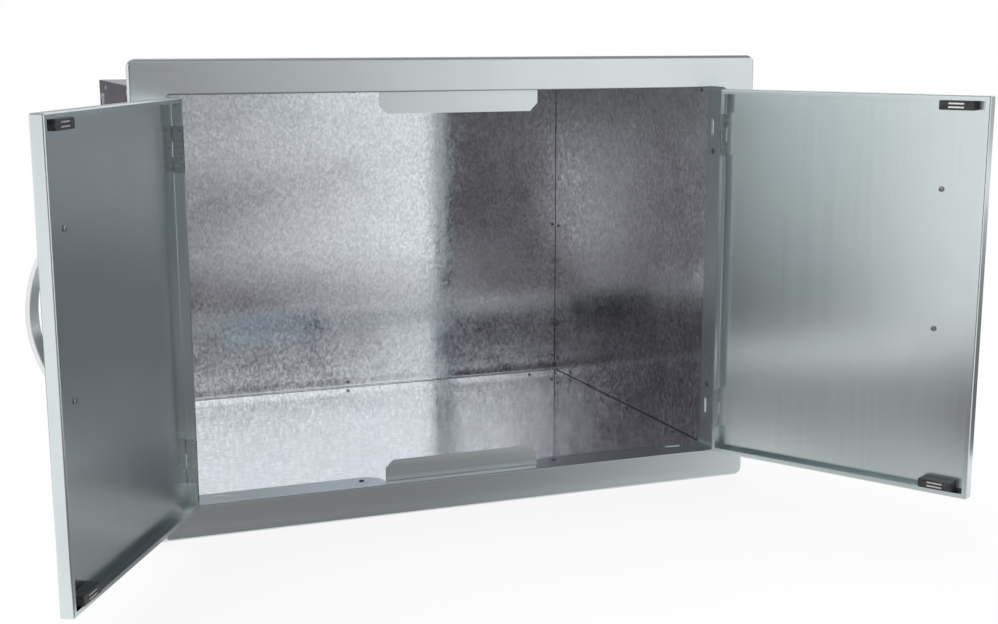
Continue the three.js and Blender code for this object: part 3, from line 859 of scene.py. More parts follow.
@dataclass(frozen=True)
class Piece:
    """One finished mesh: what it is made of, what it rides on and what it stands for."""

    name: str
    surface: Surface
    material: bpy.types.Material
    body: str
    slot: str
    nodes: tuple[str, ...] = ()
    seat: Seat = Seat()
    grain: Grain = Grain.UPRIGHT
    sharp: float = 32.0
    end_on: float = 0.8

    def made(self) -> bpy.types.Object:
        """Puts the piece into the scene.

        The places before the turn are kept as an attribute. The UV map called grain has its first
        coordinate along the polishing lines, or along another axis on a face that looks that way.

        Returns:
            The object, riding on its body.
        """
        placed = self.surface.turned(self.seat.matrix, self.seat.shift)
        made = _as_object(placed, self.name)
        mesh = made.data
        store = mesh.attributes.new(PLACE_NAME, "FLOAT_VECTOR", "POINT")
        store.data.foreach_set("vector", self.surface.points.astype(np.float32).ravel())
        self._lay_grain(mesh)
        mesh.polygons.foreach_set("use_smooth", np.ones(len(mesh.polygons), bool))
        mesh.set_sharp_from_angle(angle=math.radians(self.sharp))
        weigh = made.modifiers.new("even_normals", "WEIGHTED_NORMAL")
        weigh.keep_sharp = True
        mesh.materials.append(self.material)
        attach(made, self.body)
        if self.nodes:
            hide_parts(*self.nodes)
        LOG.info("%s: %d faces on %s", self.name, len(mesh.polygons), self.body)
        return made

    def _lay_grain(self, mesh: bpy.types.Mesh) -> None:
        """Writes the UV map whose first coordinate follows the polishing lines.

        The second runs across them. On a face that looks along the lines, both lie in the face.

        Args:
            mesh: The piece's own mesh.
        """
        corners = np.empty(len(mesh.loops), int)
        mesh.loops.foreach_get("vertex_index", corners)
        totals = np.empty(len(mesh.polygons), int)
        mesh.polygons.foreach_get("loop_total", totals)
        facing = np.empty(len(mesh.polygons) * 3)
        mesh.polygons.foreach_get("normal", facing)
        local = np.repeat(facing.reshape(-1, 3) @ self.seat.matrix, totals, axis=0)
        places = self.surface.points[corners]
        first, others = self.grain.value, [axis for axis in range(3) if axis != self.grain.value]
        end_on = np.abs(local[:, first]) > self.end_on
        along = np.where(end_on, places[:, others[0]], places[:, first])
        across = np.where(end_on, places[:, others[1]], places[:, others[0]] + places[:, others[1]])
        layer = mesh.uv_layers.new(name=GRAIN_NAME)
        layer.uv.foreach_set("vector", np.stack([along, across], axis=-1).astype(np.float32).ravel())


@dataclass(frozen=True)
class Plan:
    """The sizes that several sub-assemblies share."""

    opening_width: float = 682 * MM
    opening_height: float = 460 * MM
    front: float = -6 * MM
    sill: float = 2.5 * MM
    return_depth: float = 43 * MM
    sheet: float = 1.2 * MM
    zinc: float = 1.0 * MM
    zinc_bend: float = 1.4 * MM
    gap: float = 0.3 * MM
    box_depth: float = 526.8 * MM
    floor_lap: float = 15 * MM
    top_lap: float = 17 * MM
    slot_length: float = 21 * MM
    slot_width: float = 5 * MM
    slot_depth: float = 30 * MM
    rail_slot: float = 46.3 * MM
    door_gap: float = 1.5 * MM
    meeting: float = 3.0 * MM
    door_thickness: float = 14 * MM
    door_recess: float = 1 * MM
    door_lip: float = 5.7 * MM
    hinge_length: float = 50 * MM
    hinge_inset: float = 55.3 * MM
    hinge_slack: float = 0.4 * MM
    notch_slack: float = 0.6 * MM
    pin_proud: float = 4.0 * MM
    pin_outside: float = 0.3 * MM
    open_degrees: float = 120.0

    @property
    def head(self) -> float:
        """Height of the opening's top."""
        return self.sill + self.opening_height

    @property
    def middle(self) -> float:
        """Height of the opening's middle."""
        return self.sill + self.opening_height / 2

    @property
    def box_top(self) -> float:
        """Height of the box's top."""
        return self.head + self.sheet + self.gap + self.zinc

    @property
    def box_back(self) -> float:
        """Y of the back sheet's inner face."""
        return self.front + self.box_depth

    @property
    def side_inner(self) -> float:
        """Half the width between the side sheets."""
        return self.opening_width / 2 + self.sheet + self.gap

    @property
    def lap_outer(self) -> float:
        """Half the width over the laps outside the side sheets."""
        return self.side_inner + 2 * self.zinc + self.gap

    @property
    def back_outer(self) -> float:
        """Y of the laps behind the back sheet."""
        return self.box_back + 2 * self.zinc + self.gap

    @property
    def door_width(self) -> float:
        """Width of one door."""
        return (self.opening_width - 2 * self.door_gap - self.meeting) / 2

    @property
    def door_height(self) -> float:
        """Height of a door."""
        return self.opening_height - 2 * self.door_gap

    @property
    def door_edge(self) -> float:
        """How far a door's hinged edge lies from its pin."""
        return self.pin_outside + self.door_gap

    @property
    def door_face(self) -> float:
        """How far a door's outer face lies behind its pin."""
        return self.pin_proud + self.door_recess

    @property
    def knuckle_length(self) -> float:
        """Length of each of a hinge's three knuckles."""
        return (self.hinge_length - 2 * self.hinge_slack) / 3

    def rail_edge(self, level: Level) -> float:
        """Height of the opening's upper or lower edge."""
        return self.head if level is Level.UPPER else self.sill

    def rail_slot_outline(self, side: Side) -> np.ndarray:
        """The outline in X and Y of a screw slot through a rail."""
        place = (side.value * (self.opening_width / 2 - self.rail_slot), self.front + self.slot_depth)
        return stadium(place, self.slot_length, self.slot_width, False)

    def across_door(self, distance: float) -> float:
        """How far from the pin a place is that lies at a distance from the door's free edge."""
        return self.door_edge + self.door_width - distance

    def hinge_height(self, level: Level) -> float:
        """Height of a hinge's middle."""
        return self.middle + level.value * (self.door_height / 2 - self.hinge_inset)

    def fixed_seat(self, side: Side) -> Seat:
        """The seat of what stays with the cabinet at a pin."""
        place = side.value * (self.opening_width / 2 + self.pin_outside)
        return Seat((place, self.front - self.pin_proud, 0.0))

    def door_seat(self, side: Side) -> Seat:
        """The seat of what swings with a door."""
        return Seat(self.fixed_seat(side).shift, side.value * self.open_degrees)


class Finishes:
    """Every finish on the cabinet, each built once."""

    def __init__(self, plan: Plan) -> None:
        """Builds the materials.

        Args:
            plan: Where the sheets of the box meet, which places the painted shade lines in the corners.
        """
        self.frame = BrushedSteel("satin_stainless_frame", Grain.ACROSS).material()
        self.door = BrushedSteel("satin_stainless_door", Grain.UPRIGHT, (0.735, 0.805, 0.812),
                                 0.24).material()
        self.hinge = TurnedMetal("hinge_steel", (0.59, 0.64, 0.65), 0.28, 0.6).material()
        self.handle = BrushedSteel("polished_handle", Grain.UPRIGHT, (0.80, 0.81, 0.82), 0.14, 0.3).material()
        self.zinc = Galvanised("galvanised_sheet").material()
        # The side sheets get painted shade lines in their corners at the back and at the floor.
        self.side_zinc = Galvanised("side_galvanised_sheet", (1.0, 0.99, 1.0), (0.62, 0.61, 0.625), 0.12,
                                    seams=((1, plan.box_back), (2, 0.0))).material()
        # The floor pan's zinc is a brighter copy of the same sheet: painted light where the floor catches
        # more light, with painted shade lines where it meets the side walls.
        self.bright_zinc = Galvanised("bright_galvanised_sheet", (1.0, 1.0, 1.0), (0.82, 0.84, 0.865), 0.07,
                                      0.012, 0.04 * MM, (0.45, 1.0, 1.0), ((0, plan.side_inner),)).material()
        self.rivet = TurnedMetal("rivet_aluminium", (0.42, 0.42, 0.43), 0.34).material()
        self.screw = TurnedMetal("zinc_plated_screw", (0.46, 0.47, 0.48), 0.28).material()
        self.plastic = Moulded("catch_plastic").material()
        self.pole = TurnedMetal("pole_steel", (0.86, 0.86, 0.86), 0.22, 0.8).material()
        self.ferrite = Moulded("ferrite_magnet", (0.03, 0.03, 0.032), 0.6, 0.3 * MM).material()


@dataclass
class FrontFrame:
    """The bent trim frame: flange, rolled outer edge, returns round the opening and strike tabs."""

    plan: Plan
    finishes: Finishes
    side_flange: float = 40 * MM
    rail_flange: float = 38.6 * MM
    flange_corner: float = 10 * MM
    hole_corner: float = 5 * MM
    edge_bend: float = 4 * MM
    bend: float = 2 * MM
    lip: float = 8 * MM
    tab_width: float = 195 * MM
    tab_height: float = 25 * MM
    tab_chamfer: float = 9.5 * MM
    tab_front: float = 12 * MM
    tab_relief: float = 1.5 * MM
    tab_end: float = 24 * MM
    crease_width: float = 1.0 * MM
    crease_depth: float = 0.5 * MM
    jamb_slot: float = 50.4 * MM

    def shell(self) -> Surface:
        """The bent sheet before its holes, from a section carried round two outlines.

        The section runs from the rear lip round the outer edge, over the face and into the
        opening, and comes back along the sheet's other side. A loop that lies on the one before
        it is left out.

        Returns:
            The closed sheet.
        """
        plan, sheet, bend, front = self.plan, self.plan.sheet, self.bend, self.plan.front
        hole = Outline(plan.opening_width, plan.opening_height, self.hole_corner)
        outer = Outline(plan.opening_width + 2 * self.side_flange,
                        plan.opening_height + 2 * self.rail_flange, self.flange_corner)
        roll = front + self.edge_bend
        back = front + plan.return_depth
        loops = [
            Section().at(self.lip, 0.0).bend(bend, -bend, bend, -1, 0)
            .bend(self.edge_bend, roll, self.edge_bend, 0, 1, 10).swept(outer),
            Section().bend(-bend, front + bend, bend, 1, 2).at(0.0, back).at(-sheet, back)
            .bend(-bend, front + bend, bend - sheet, 2, 1).swept(hole),
            Section().bend(self.edge_bend, roll, self.edge_bend - sheet, 1, 0, 10)
            .bend(bend, -bend, bend - sheet, 0, -1).at(self.lip, -sheet).swept(outer),
        ]
        stacked = np.vstack(loops)
        new = np.abs(np.diff(stacked, axis=0)).max(axis=(1, 2)) > APART
        skin = lofted(stacked[np.concatenate([[True], new])], closed=True)
        return skin.shifted((0.0, 0.0, plan.middle))

    def clearing(self, low: float, high: float) -> Surface:
        """What is cleared from a rail's return round a strike tab, leaving quarter-round ends.

        Args:
            low: Z of its foot.
            high: Z of its top.

        Returns:
            The cutter.
        """
        half = self.tab_width / 2 + self.tab_relief
        back = self.plan.front + self.plan.return_depth
        crease = self.tab_front - self.bend
        angle = np.linspace(0, math.pi / 2, 17)
        shoulder = half + self.tab_end
        arc = np.stack([-shoulder + self.tab_end * np.cos(angle),
                        back - self.tab_end + self.tab_end * np.sin(angle)], axis=-1)
        left = np.vstack([[-half, crease], arc, [-shoulder, back + OVERRUN]])
        return prism(np.vstack([left, (left * (-1, 1))[::-1]]), 2, low, high)

    def tab(self, level: Level) -> Surface:
        """One strike tab: the return's edge bent up or down, its free corners cut off.

        The middle surface is the bent path along Y and Z, carried across the tab's half width.
        Above the chamfer that half width narrows by as much as the path rises.

        Args:
            level: Which rail it belongs to.

        Returns:
            The closed tab.
        """
        plan, sheet = self.plan, self.plan.sheet
        sense = -level.value
        edge = plan.rail_edge(level)
        line, rear = edge - sense * sheet / 2, self.tab_front + sheet / 2
        tip = edge + sense * self.tab_height
        knee = edge + sense * (self.tab_height - self.tab_chamfer)
        path = rounded(np.array([[self.tab_front - self.bend, line], [rear, line], [rear, knee]]),
                       self.bend - sheet / 2, 8)
        path = np.vstack([path, [rear, tip]])
        half = self.tab_width / 2 - np.maximum(sense * (path[:, 1] - knee), 0.0)
        share = np.linspace(-1, 1, 5)
        middle = np.stack([half[:, None] * share, np.broadcast_to(path[:, :1], (len(path), 5)),
                           np.broadcast_to(path[:, 1:], (len(path), 5))], axis=-1)
        facing = sideways(path)
        normal = np.zeros_like(middle)
        normal[:, :, 1:] = facing[:, None, :]
        return plate(middle, normal, sheet)

    def corner_cutters(self, side: Side, level: Level) -> list[Surface]:
        """A corner's two screw slots, through the jamb and the rail, and its hinge notch.

        Args:
            side: Which jamb.
            level: Which rail.

        Returns:
            The three cutters.
        """
        plan = self.plan
        edge, height = plan.rail_edge(level), plan.hinge_height(level)
        inner = side.value * (plan.opening_width / 2 - OVERRUN)
        outer = side.value * (plan.opening_width / 2 + 2 * OVERRUN)
        jamb = stadium((plan.front + plan.slot_depth, edge - level.value * self.jamb_slot),
                       plan.slot_length, plan.slot_width, True)
        half = plan.hinge_length / 2 + plan.notch_slack
        wide = side.value * (plan.opening_width / 2 + 2 * (plan.sheet + plan.gap))
        return [prism(jamb, 0, min(inner, outer), max(inner, outer)),
                prism(plan.rail_slot_outline(side), 2, edge - OVERRUN, edge + OVERRUN),
                box((inner, plan.front - OVERRUN, height - half),
                    (wide, plan.front + self.bend + plan.gap, height + half))]

    def cutters(self) -> list[Surface]:
        """The clearings round both tabs, the slots and notches, and the line at the lower tab.

        Returns:
            All the cutters.
        """
        plan = self.plan
        made = [self.clearing(plan.sill - plan.sheet - plan.gap / 2, plan.sill + OVERRUN),
                self.clearing(plan.head - OVERRUN, plan.head + plan.sheet + plan.gap / 2)]
        for side in Side:
            for level in Level:
                made += self.corner_cutters(side, level)
        scored = self.tab_front - self.bend
        made.append(box((-self.tab_width / 2, scored - self.crease_width, plan.sill - self.crease_depth),
                        (self.tab_width / 2, scored, plan.sill + OVERRUN)))
        return made

    def pieces(self) -> list[Piece]:
        """The finished frame.

        Returns:
            One piece, which has both strike tabs.
        """
        body = carved(self.shell(), self.cutters())
        whole = Surface.joined([body, self.tab(Level.UPPER), self.tab(Level.LOWER)])
        return [Piece("trim_frame", whole, self.finishes.frame, "cabinet", "stainless_sheet",
                      ("front_frame",), grain=Grain.ACROSS)]


@dataclass
class Pan:
    """A folded zinc pan: a sheet, a lap down each side and an apron across the back."""

    plan: Plan
    finishes: Finishes
    level: Level
    start: float = 2 * MM

    def surface(self) -> Surface:
        """The folded sheet: one section carried along the box and one across its back.

        Returns:
            The pan, with the screw slots cut through it.
        """
        plan, zinc = self.plan, self.plan.zinc
        edge, lap = (plan.box_top, plan.top_lap) if self.level is Level.UPPER else (0.0, plan.floor_lap)
        line, tip = edge - self.level.value * zinc / 2, edge - self.level.value * lap
        wide = plan.lap_outer - zinc / 2
        across = np.array([[-wide, tip], [-wide, line], [wide, line], [wide, tip]])
        radius = plan.zinc_bend - zinc / 2
        section = ribbon(rounded(across, radius, 6), zinc)
        trough = prism(section, 1, plan.front + self.start, plan.box_back)
        rear = plan.back_outer - zinc / 2
        down = np.array([[plan.box_back, line], [rear, line], [rear, tip]])
        apron = prism(ribbon(rounded(down, radius, 6), zinc), 0, -plan.side_inner, plan.side_inner)
        slots = [prism(plan.rail_slot_outline(side), 2, edge - OVERRUN, edge + OVERRUN) for side in Side]
        return Surface.joined([carved(trough, slots), apron])

    def pieces(self) -> list[Piece]:
        """The finished pan.

        Returns:
            One piece.
        """
        word = "top" if self.level is Level.UPPER else "floor"
        # The floor pan takes the brighter zinc copy, whose extra brightness is painted light.
        zinc = self.finishes.zinc if self.level is Level.UPPER else self.finishes.bright_zinc
        return [Piece(f"{word}_pan", self.surface(), zinc, "cabinet", "galvanised_sheet",
                      (f"{word}_panel",), grain=Grain.DEEP)]


@dataclass
class BackSheet:
    """The zinc back with a lap folded forward along each side."""

    plan: Plan
    finishes: Finishes
    lap: float = 20 * MM
    foot: float = 1.6 * MM
    foot_gap: float = 1.2 * MM
    kick: float = 0.5 * MM

    def surface(self) -> Surface:
        """The folded sheet carried upward, and the two strips between the pans' aprons.

        Returns:
            The back, whose foot leans forward.
        """
        plan, zinc = self.plan, self.plan.zinc
        wide, line = plan.lap_outer - zinc / 2, plan.box_back + zinc / 2
        tip = plan.box_back - self.lap
        corners = np.array([[-wide, tip], [-wide, line], [wide, line], [wide, tip]])
        path = rounded(corners, plan.zinc_bend - zinc / 2, 6)
        low, high = plan.floor_lap + plan.gap, plan.box_top - plan.top_lap - plan.gap
        reach = plan.side_inner + zinc
        near, far = plan.box_back, plan.box_back + zinc
        toe = zinc + self.foot_gap
        knee = toe + self.foot
        foot = np.array([[near - self.kick, toe], [far - self.kick, toe], [far, knee], [far, low],
                         [near, low], [near, knee]])
        return Surface.joined([prism(ribbon(path, zinc), 2, low, high), prism(foot, 0, -reach, reach),
                               box((-reach, near, high), (reach, far, plan.box_top - zinc - plan.gap))])

    def pieces(self) -> list[Piece]:
        """The finished back."""
        return [Piece("back_sheet", self.surface(), self.finishes.zinc, "cabinet", "galvanised_sheet",
                      ("back_panel",), grain=Grain.UPRIGHT)]


@dataclass
class BlindRivets:
    """The pulled rivets: a domed head with the snapped stem in its bore, and a bulbed tail."""

    plan: Plan
    finishes: Finishes
    shank: float = 1.6 * MM
    head: float = 3.2 * MM
    head_height: float = 1.1 * MM
    rim: float = 0.4 * MM
    bore: float = 0.95 * MM
    bore_lip: float = 0.15 * MM
    mouth_share: float = 0.97
    throat_share: float = 0.3
    stem_share: float = 0.45
    stem_radius_shares: tuple[float, float] = (0.72, 0.8)
    tail: float = 2.3 * MM
    tail_height: float = 1.6 * MM
    tail_swell: float = 0.1 * MM
    tail_start_share: float = 0.93
    bulge_share: float = 0.85
    stub_share: float = 0.6
    stub_edge_share: float = 0.9
    stub_height_shares: tuple[float, float] = (0.88, 0.97)
    depth: float = 27.5 * MM
    first: float = 64 * MM
    last: float = 62.8 * MM
    corner_inset: float = 11.8 * MM
    corner_end: float = 20.8 * MM
    corner_side: float = 44.5 * MM
    floor_rise: float = 6.7 * MM
    top_drop: float = 8.5 * MM
    jamb: float = 80 * MM
    rail: float = 125 * MM
    steps: int = 24

    def solid(self, grip: float, seat: float) -> Surface:
        """A rivet along Y, its head on the near side of the grip.

        The head's height falls from the bore's lip to the rim as a quarter cosine of the radius,
        and the tail bulges as half a sine of its height.

        Args:
            grip: Thickness of what it holds.
            seat: Y of the head's underside.

        Returns:
            The rivet.
        """
        share = np.linspace(0, 1, 7)
        lip = self.bore + self.bore_lip
        radius = lip + (self.head - lip) * share
        crown = seat - self.rim - (self.head_height - self.rim) * np.cos(share * math.pi / 2)
        mouth, throat, stem = (seat - part * self.head_height
                               for part in (self.mouth_share, self.throat_share, self.stem_share))
        stem_edge, stem_foot = (part * self.bore for part in self.stem_radius_shares)
        inner = grip + self.plan.gap
        bulge = share[1:]
        tail = self.shank + (self.tail - self.shank) * np.sin(bulge * math.pi) + self.tail_swell * (1 - bulge)
        stub = self.stub_share * self.shank
        low, high = (inner + self.tail_height * part for part in self.stub_height_shares)
        profile = np.vstack([
            [[0, stem], [stem_edge, stem], [stem_foot, throat], [self.bore, throat], [self.bore, mouth]],
            np.stack([radius, crown], axis=-1),
            [[self.head, seat], [self.shank, seat], [self.shank, inner],
             [self.tail * self.tail_start_share, inner]],
            np.stack([tail, inner + self.tail_height * self.bulge_share * bulge], axis=-1),
            [[stub, low], [stub * self.stub_edge_share, inner + self.tail_height], [0, high]],
        ])
        return lathe(profile, self.steps)

    def placed(self, grip: float, place: Sequence[float], direction: Sequence[float],
               seat: float) -> Surface:
        """A rivet whose own Y runs along a direction from a place.

        Args:
            grip: Thickness of what it holds.
            place: Where the grip starts.
            direction: Unit vector into the work.
            seat: Y of the head's underside.

        Returns:
            The placed rivet.
        """
        ahead = np.asarray(direction, float)
        beside = np.roll(np.abs(ahead), 1)
        axes = np.stack([beside, ahead, np.cross(beside, ahead)], axis=1)
        return self.solid(grip, seat).turned(axes, place)

    def pieces(self) -> list[Piece]:
        """Every rivet.

        Returns:
            The rivets that are nodes of their own, then those of the top seam and of the back
            corners as a mesh each.
        """
        plan = self.plan
        pitch = (plan.box_depth - self.first - self.last) / 2
        depths = [plan.front + self.first + count * pitch for count in range(3)]
        low, high = plan.zinc + self.floor_rise, plan.box_top - self.top_drop
        back = plan.box_back - self.corner_inset
        heights = (plan.zinc + self.corner_end, plan.middle, plan.box_top - plan.zinc - self.corner_end)
        across = [side * (plan.side_inner + plan.zinc - self.corner_side) for side in (-1, 0, 1)]
        lap_grip = plan.lap_outer - plan.side_inner
        thick = plan.back_outer - plan.box_back
        frame_grip = plan.sheet + plan.gap + plan.zinc
        face = plan.front + self.depth
        loose: dict[str, Surface] = {}
        top: list[Surface] = []
        corner: list[Surface] = []
        for side in Side:
            edge, inward = side.value * plan.lap_outer, (-side.value, 0, 0)
            jamb, outward = side.value * plan.opening_width / 2, (side.value, 0, 0)
            top += [self.placed(lap_grip, (edge, depth, high), inward, 0.0) for depth in depths]
            corner += [self.placed(lap_grip, (edge, back, height), inward, 0.0) for height in heights]
            for count, depth in enumerate(depths, 1):
                loose[f"{side.word}_floor_rivet_{count}"] = self.placed(
                    lap_grip, (edge, depth, low), inward, -plan.gap)
            for count, height in enumerate((plan.sill + self.jamb, plan.head - self.jamb), 1):
                loose[f"{side.word}_jamb_rivet_{count}"] = self.placed(
                    frame_grip, (jamb, face, height), outward, -plan.gap)
        for count, place in enumerate(across, 1):
            top.append(self.placed(thick, (place, plan.back_outer, high), (0, -1, 0), 0.0))
            loose[f"back_floor_rivet_{count}"] = self.placed(
                thick, (place, plan.back_outer, low), (0, -1, 0), -plan.gap)
        for count, place in enumerate((-self.rail, self.rail), 1):
            for level in (Level.LOWER, Level.UPPER):
                loose[f"{level.word}_rail_rivet_{count}"] = self.placed(
                    frame_grip, (place, face, plan.rail_edge(level)), (0, 0, level.value), -plan.gap)
        metal = self.finishes.rivet
        made = [Piece("fine_" + name, surface, metal, "cabinet", "rivet_metal", (name,))
                for name, surface in loose.items()]
        made += [Piece(name, Surface.joined(group), metal, "cabinet", "galvanised_sheet", (node,))
                 for name, group, node in (("top_seam_rivets", top, "top_panel"),
                                           ("back_corner_rivets", corner, "back_panel"))]
        return made


@dataclass
class Hinge:
    """One hinge: frame leaf with two knuckles, door leaf with one between them, and the pin."""

    plan: Plan
    finishes: Finishes
    side: Side
    level: Level
    knuckle: float = 3.2 * MM
    chamfer: float = 0.25 * MM
    pin: float = 1.5 * MM
    pin_end: float = 0.5 * MM
    reach: float = 18 * MM
    turn: float = 7 * MM
    joggle: float = 1.8 * MM
    steps: int = 40

    @property
    def bore(self) -> float:
        """The pin's radius and half the gap round it."""
        return self.pin + 0.5 * self.plan.gap

    def barrel(self, low: float, high: float) -> Surface:
        """A rolled knuckle.

        The tube's wall is six loops: four up the chamfered outside and two down the bore.

        Args:
            low: Z of its foot.
            high: Z of its top.

        Returns:
            The tube.
        """
        knuckle, end, bore = self.knuckle, self.knuckle - self.chamfer, self.bore
        radii = (end, knuckle, knuckle, end, bore, bore)
        heights = (low, low + self.chamfer, high - self.chamfer, high, high, low)
        loops = [np.column_stack([ring((0, 0), radius, self.steps), np.full(self.steps, height)])
                 for radius, height in zip(radii, heights)]
        return lofted(np.array(loops), closed=True)

    def frame_leaf(self) -> Surface:
        """The leaf behind the jamb, with a knuckle at each end.

        Returns:
            The leaf, about the pin's middle.
        """
        plan, half, length = self.plan, self.plan.hinge_length / 2, self.plan.knuckle_length
        near = -plan.pin_outside + plan.sheet + plan.gap
        edge, far = self.side.value * near, self.side.value * (near + plan.sheet)
        rear = plan.pin_proud + self.reach - plan.gap - plan.sheet
        notch = box((-OVERRUN, -OVERRUN, -length / 2 - plan.hinge_slack),
                    (OVERRUN, self.knuckle + plan.gap, length / 2 + plan.hinge_slack))
        bore = prism(ring((0, 0), self.bore, self.steps), 2, -half - OVERRUN, half + OVERRUN)
        sheet = carved(carved(box((edge, 0, -half), (far, rear, half)), [notch]), [bore])
        return Surface.joined([sheet, self.barrel(-half, length - half), self.barrel(half - length, half)])

    def door_leaf(self) -> Surface:
        """The leaf inside the door's edge, joggled forward to the middle knuckle.

        Returns:
            The leaf, about the pin's middle, with the door shut.
        """
        plan, half, length = self.plan, self.plan.hinge_length / 2, self.plan.knuckle_length
        inward = -self.side.value
        line = plan.door_edge + 2 * plan.sheet + plan.gap - plan.sheet / 2
        skin = plan.door_face + plan.sheet
        tip = plan.door_face + plan.door_thickness - plan.sheet / 2
        corners = np.array([[0, 0], [inward * line, self.turn], [inward * line, tip]])
        path = rounded(corners, self.joggle, 8)
        bore = prism(ring((0, 0), self.bore, self.steps), 2, -half, half)
        web = carved(prism(ribbon(path, plan.sheet), 2, -length / 2, length / 2), [bore])
        wings = [box((inward * (line - plan.sheet / 2), skin + plan.gap, low),
                     (inward * (line + plan.sheet / 2), tip, high))
                 for low, high in ((-half, -length / 2), (length / 2, half))]
        return Surface.joined([web, self.barrel(-length / 2, length / 2), *wings])

    def pin_solid(self) -> Surface:
        """The pin, with chamfered ends.

        Returns:
            The pin, along Z.
        """
        half, end = self.plan.hinge_length / 2, self.pin_end
        profile = np.array([[0, -half - end], [self.pin - end, -half - end], [self.pin, -half],
                            [self.pin, half], [self.pin - end, half + end], [0, half + end]])
        return lathe(profile, self.steps).turned(np.array([[1, 0, 0], [0, 0, -1], [0, 1, 0]]))

    def pieces(self) -> list[Piece]:
        """Both leaves and the pin, each on its own body.

        Returns:
            The three pieces.
        """
        stem = f"{self.side.word}_{self.level.word}"
        up = (0.0, 0.0, self.plan.hinge_height(self.level))
        fixed, swung = self.plan.fixed_seat(self.side), self.plan.door_seat(self.side)
        metal = self.finishes.hinge
        return [
            Piece(f"{stem}_fixed_leaf", self.frame_leaf().shifted(up), metal, "cabinet", "hinge_steel",
                  (f"{stem}_frame_leaf",), fixed),
            Piece(f"{stem}_pivot", self.pin_solid().shifted(up), metal, "cabinet", "hinge_steel",
                  (f"{stem}_hinge_pin",), fixed),
            Piece(f"{stem}_swinging_leaf", self.door_leaf().shifted(up), metal, f"{self.side.word}_door",
                  "hinge_steel", (f"{stem}_door_leaf",), swung),
        ]


@dataclass
class DoorPan:
    """A door: one pressed sheet with returned edges and an inward lip all round."""

    plan: Plan
    finishes: Finishes
    side: Side
    bend: float = 1.8 * MM
    corner: float = 2 * MM
    notch_depth: float = 2.2 * MM

    def shell(self) -> Surface:
        """The pressed sheet before its notches, from loops carried out round the bends and back.

        Returns:
            The closed sheet.
        """
        plan, sheet, bend, thick = self.plan, self.plan.sheet, self.bend, self.plan.door_thickness
        outline = Outline(plan.door_width, plan.door_height, self.corner, steps=6)
        section = (Section().bend(bend, bend, bend, 1, 0).bend(bend, thick - bend, bend, 0, -1)
                   .at(plan.door_lip, thick).at(plan.door_lip, thick - sheet)
                   .bend(bend, thick - bend, bend - sheet, -1, 0).bend(bend, bend, bend - sheet, 0, 1))
        return lofted(section.swept(outline))

    def notches(self, inward: int) -> list[Surface]:
        """Room in the hinged edge for each hinge's joggled web and for its leaf.

        Args:
            inward: The sign of the way to the middle of the cabinet.

        Returns:
            Two cutters for each hinge.
        """
        plan, slack = self.plan, self.plan.notch_slack
        wall = plan.door_edge + plan.sheet
        rear = plan.door_face + plan.door_thickness
        web, leaf = plan.knuckle_length / 2 + slack, plan.hinge_length / 2 + slack
        inside, past = wall + plan.gap + plan.sheet + slack, plan.door_edge + plan.door_lip + OVERRUN
        made = []
        for height in map(plan.hinge_height, Level):
            made += [box((inward * (plan.door_edge - OVERRUN), plan.door_face - OVERRUN, height - web),
                         (inward * inside, plan.door_face + self.notch_depth, height + web)),
                     box((inward * wall, rear - self.bend, height - leaf),
                         (inward * past, rear + OVERRUN, height + leaf))]
        return made

    def pieces(self) -> list[Piece]:
        """The finished door.

        Returns:
            One piece.
        """
        inward, plan = -self.side.value, self.plan
        shift = (inward * (plan.door_edge + plan.door_width / 2), plan.door_face, plan.middle)
        body = carved(self.shell().shifted(shift), self.notches(inward))
        return [Piece(f"{self.side.word}_door", body, self.finishes.door, f"{self.side.word}_door",
                      "stainless_sheet", (f"{self.side.word}_door_pan",), plan.door_seat(self.side))]


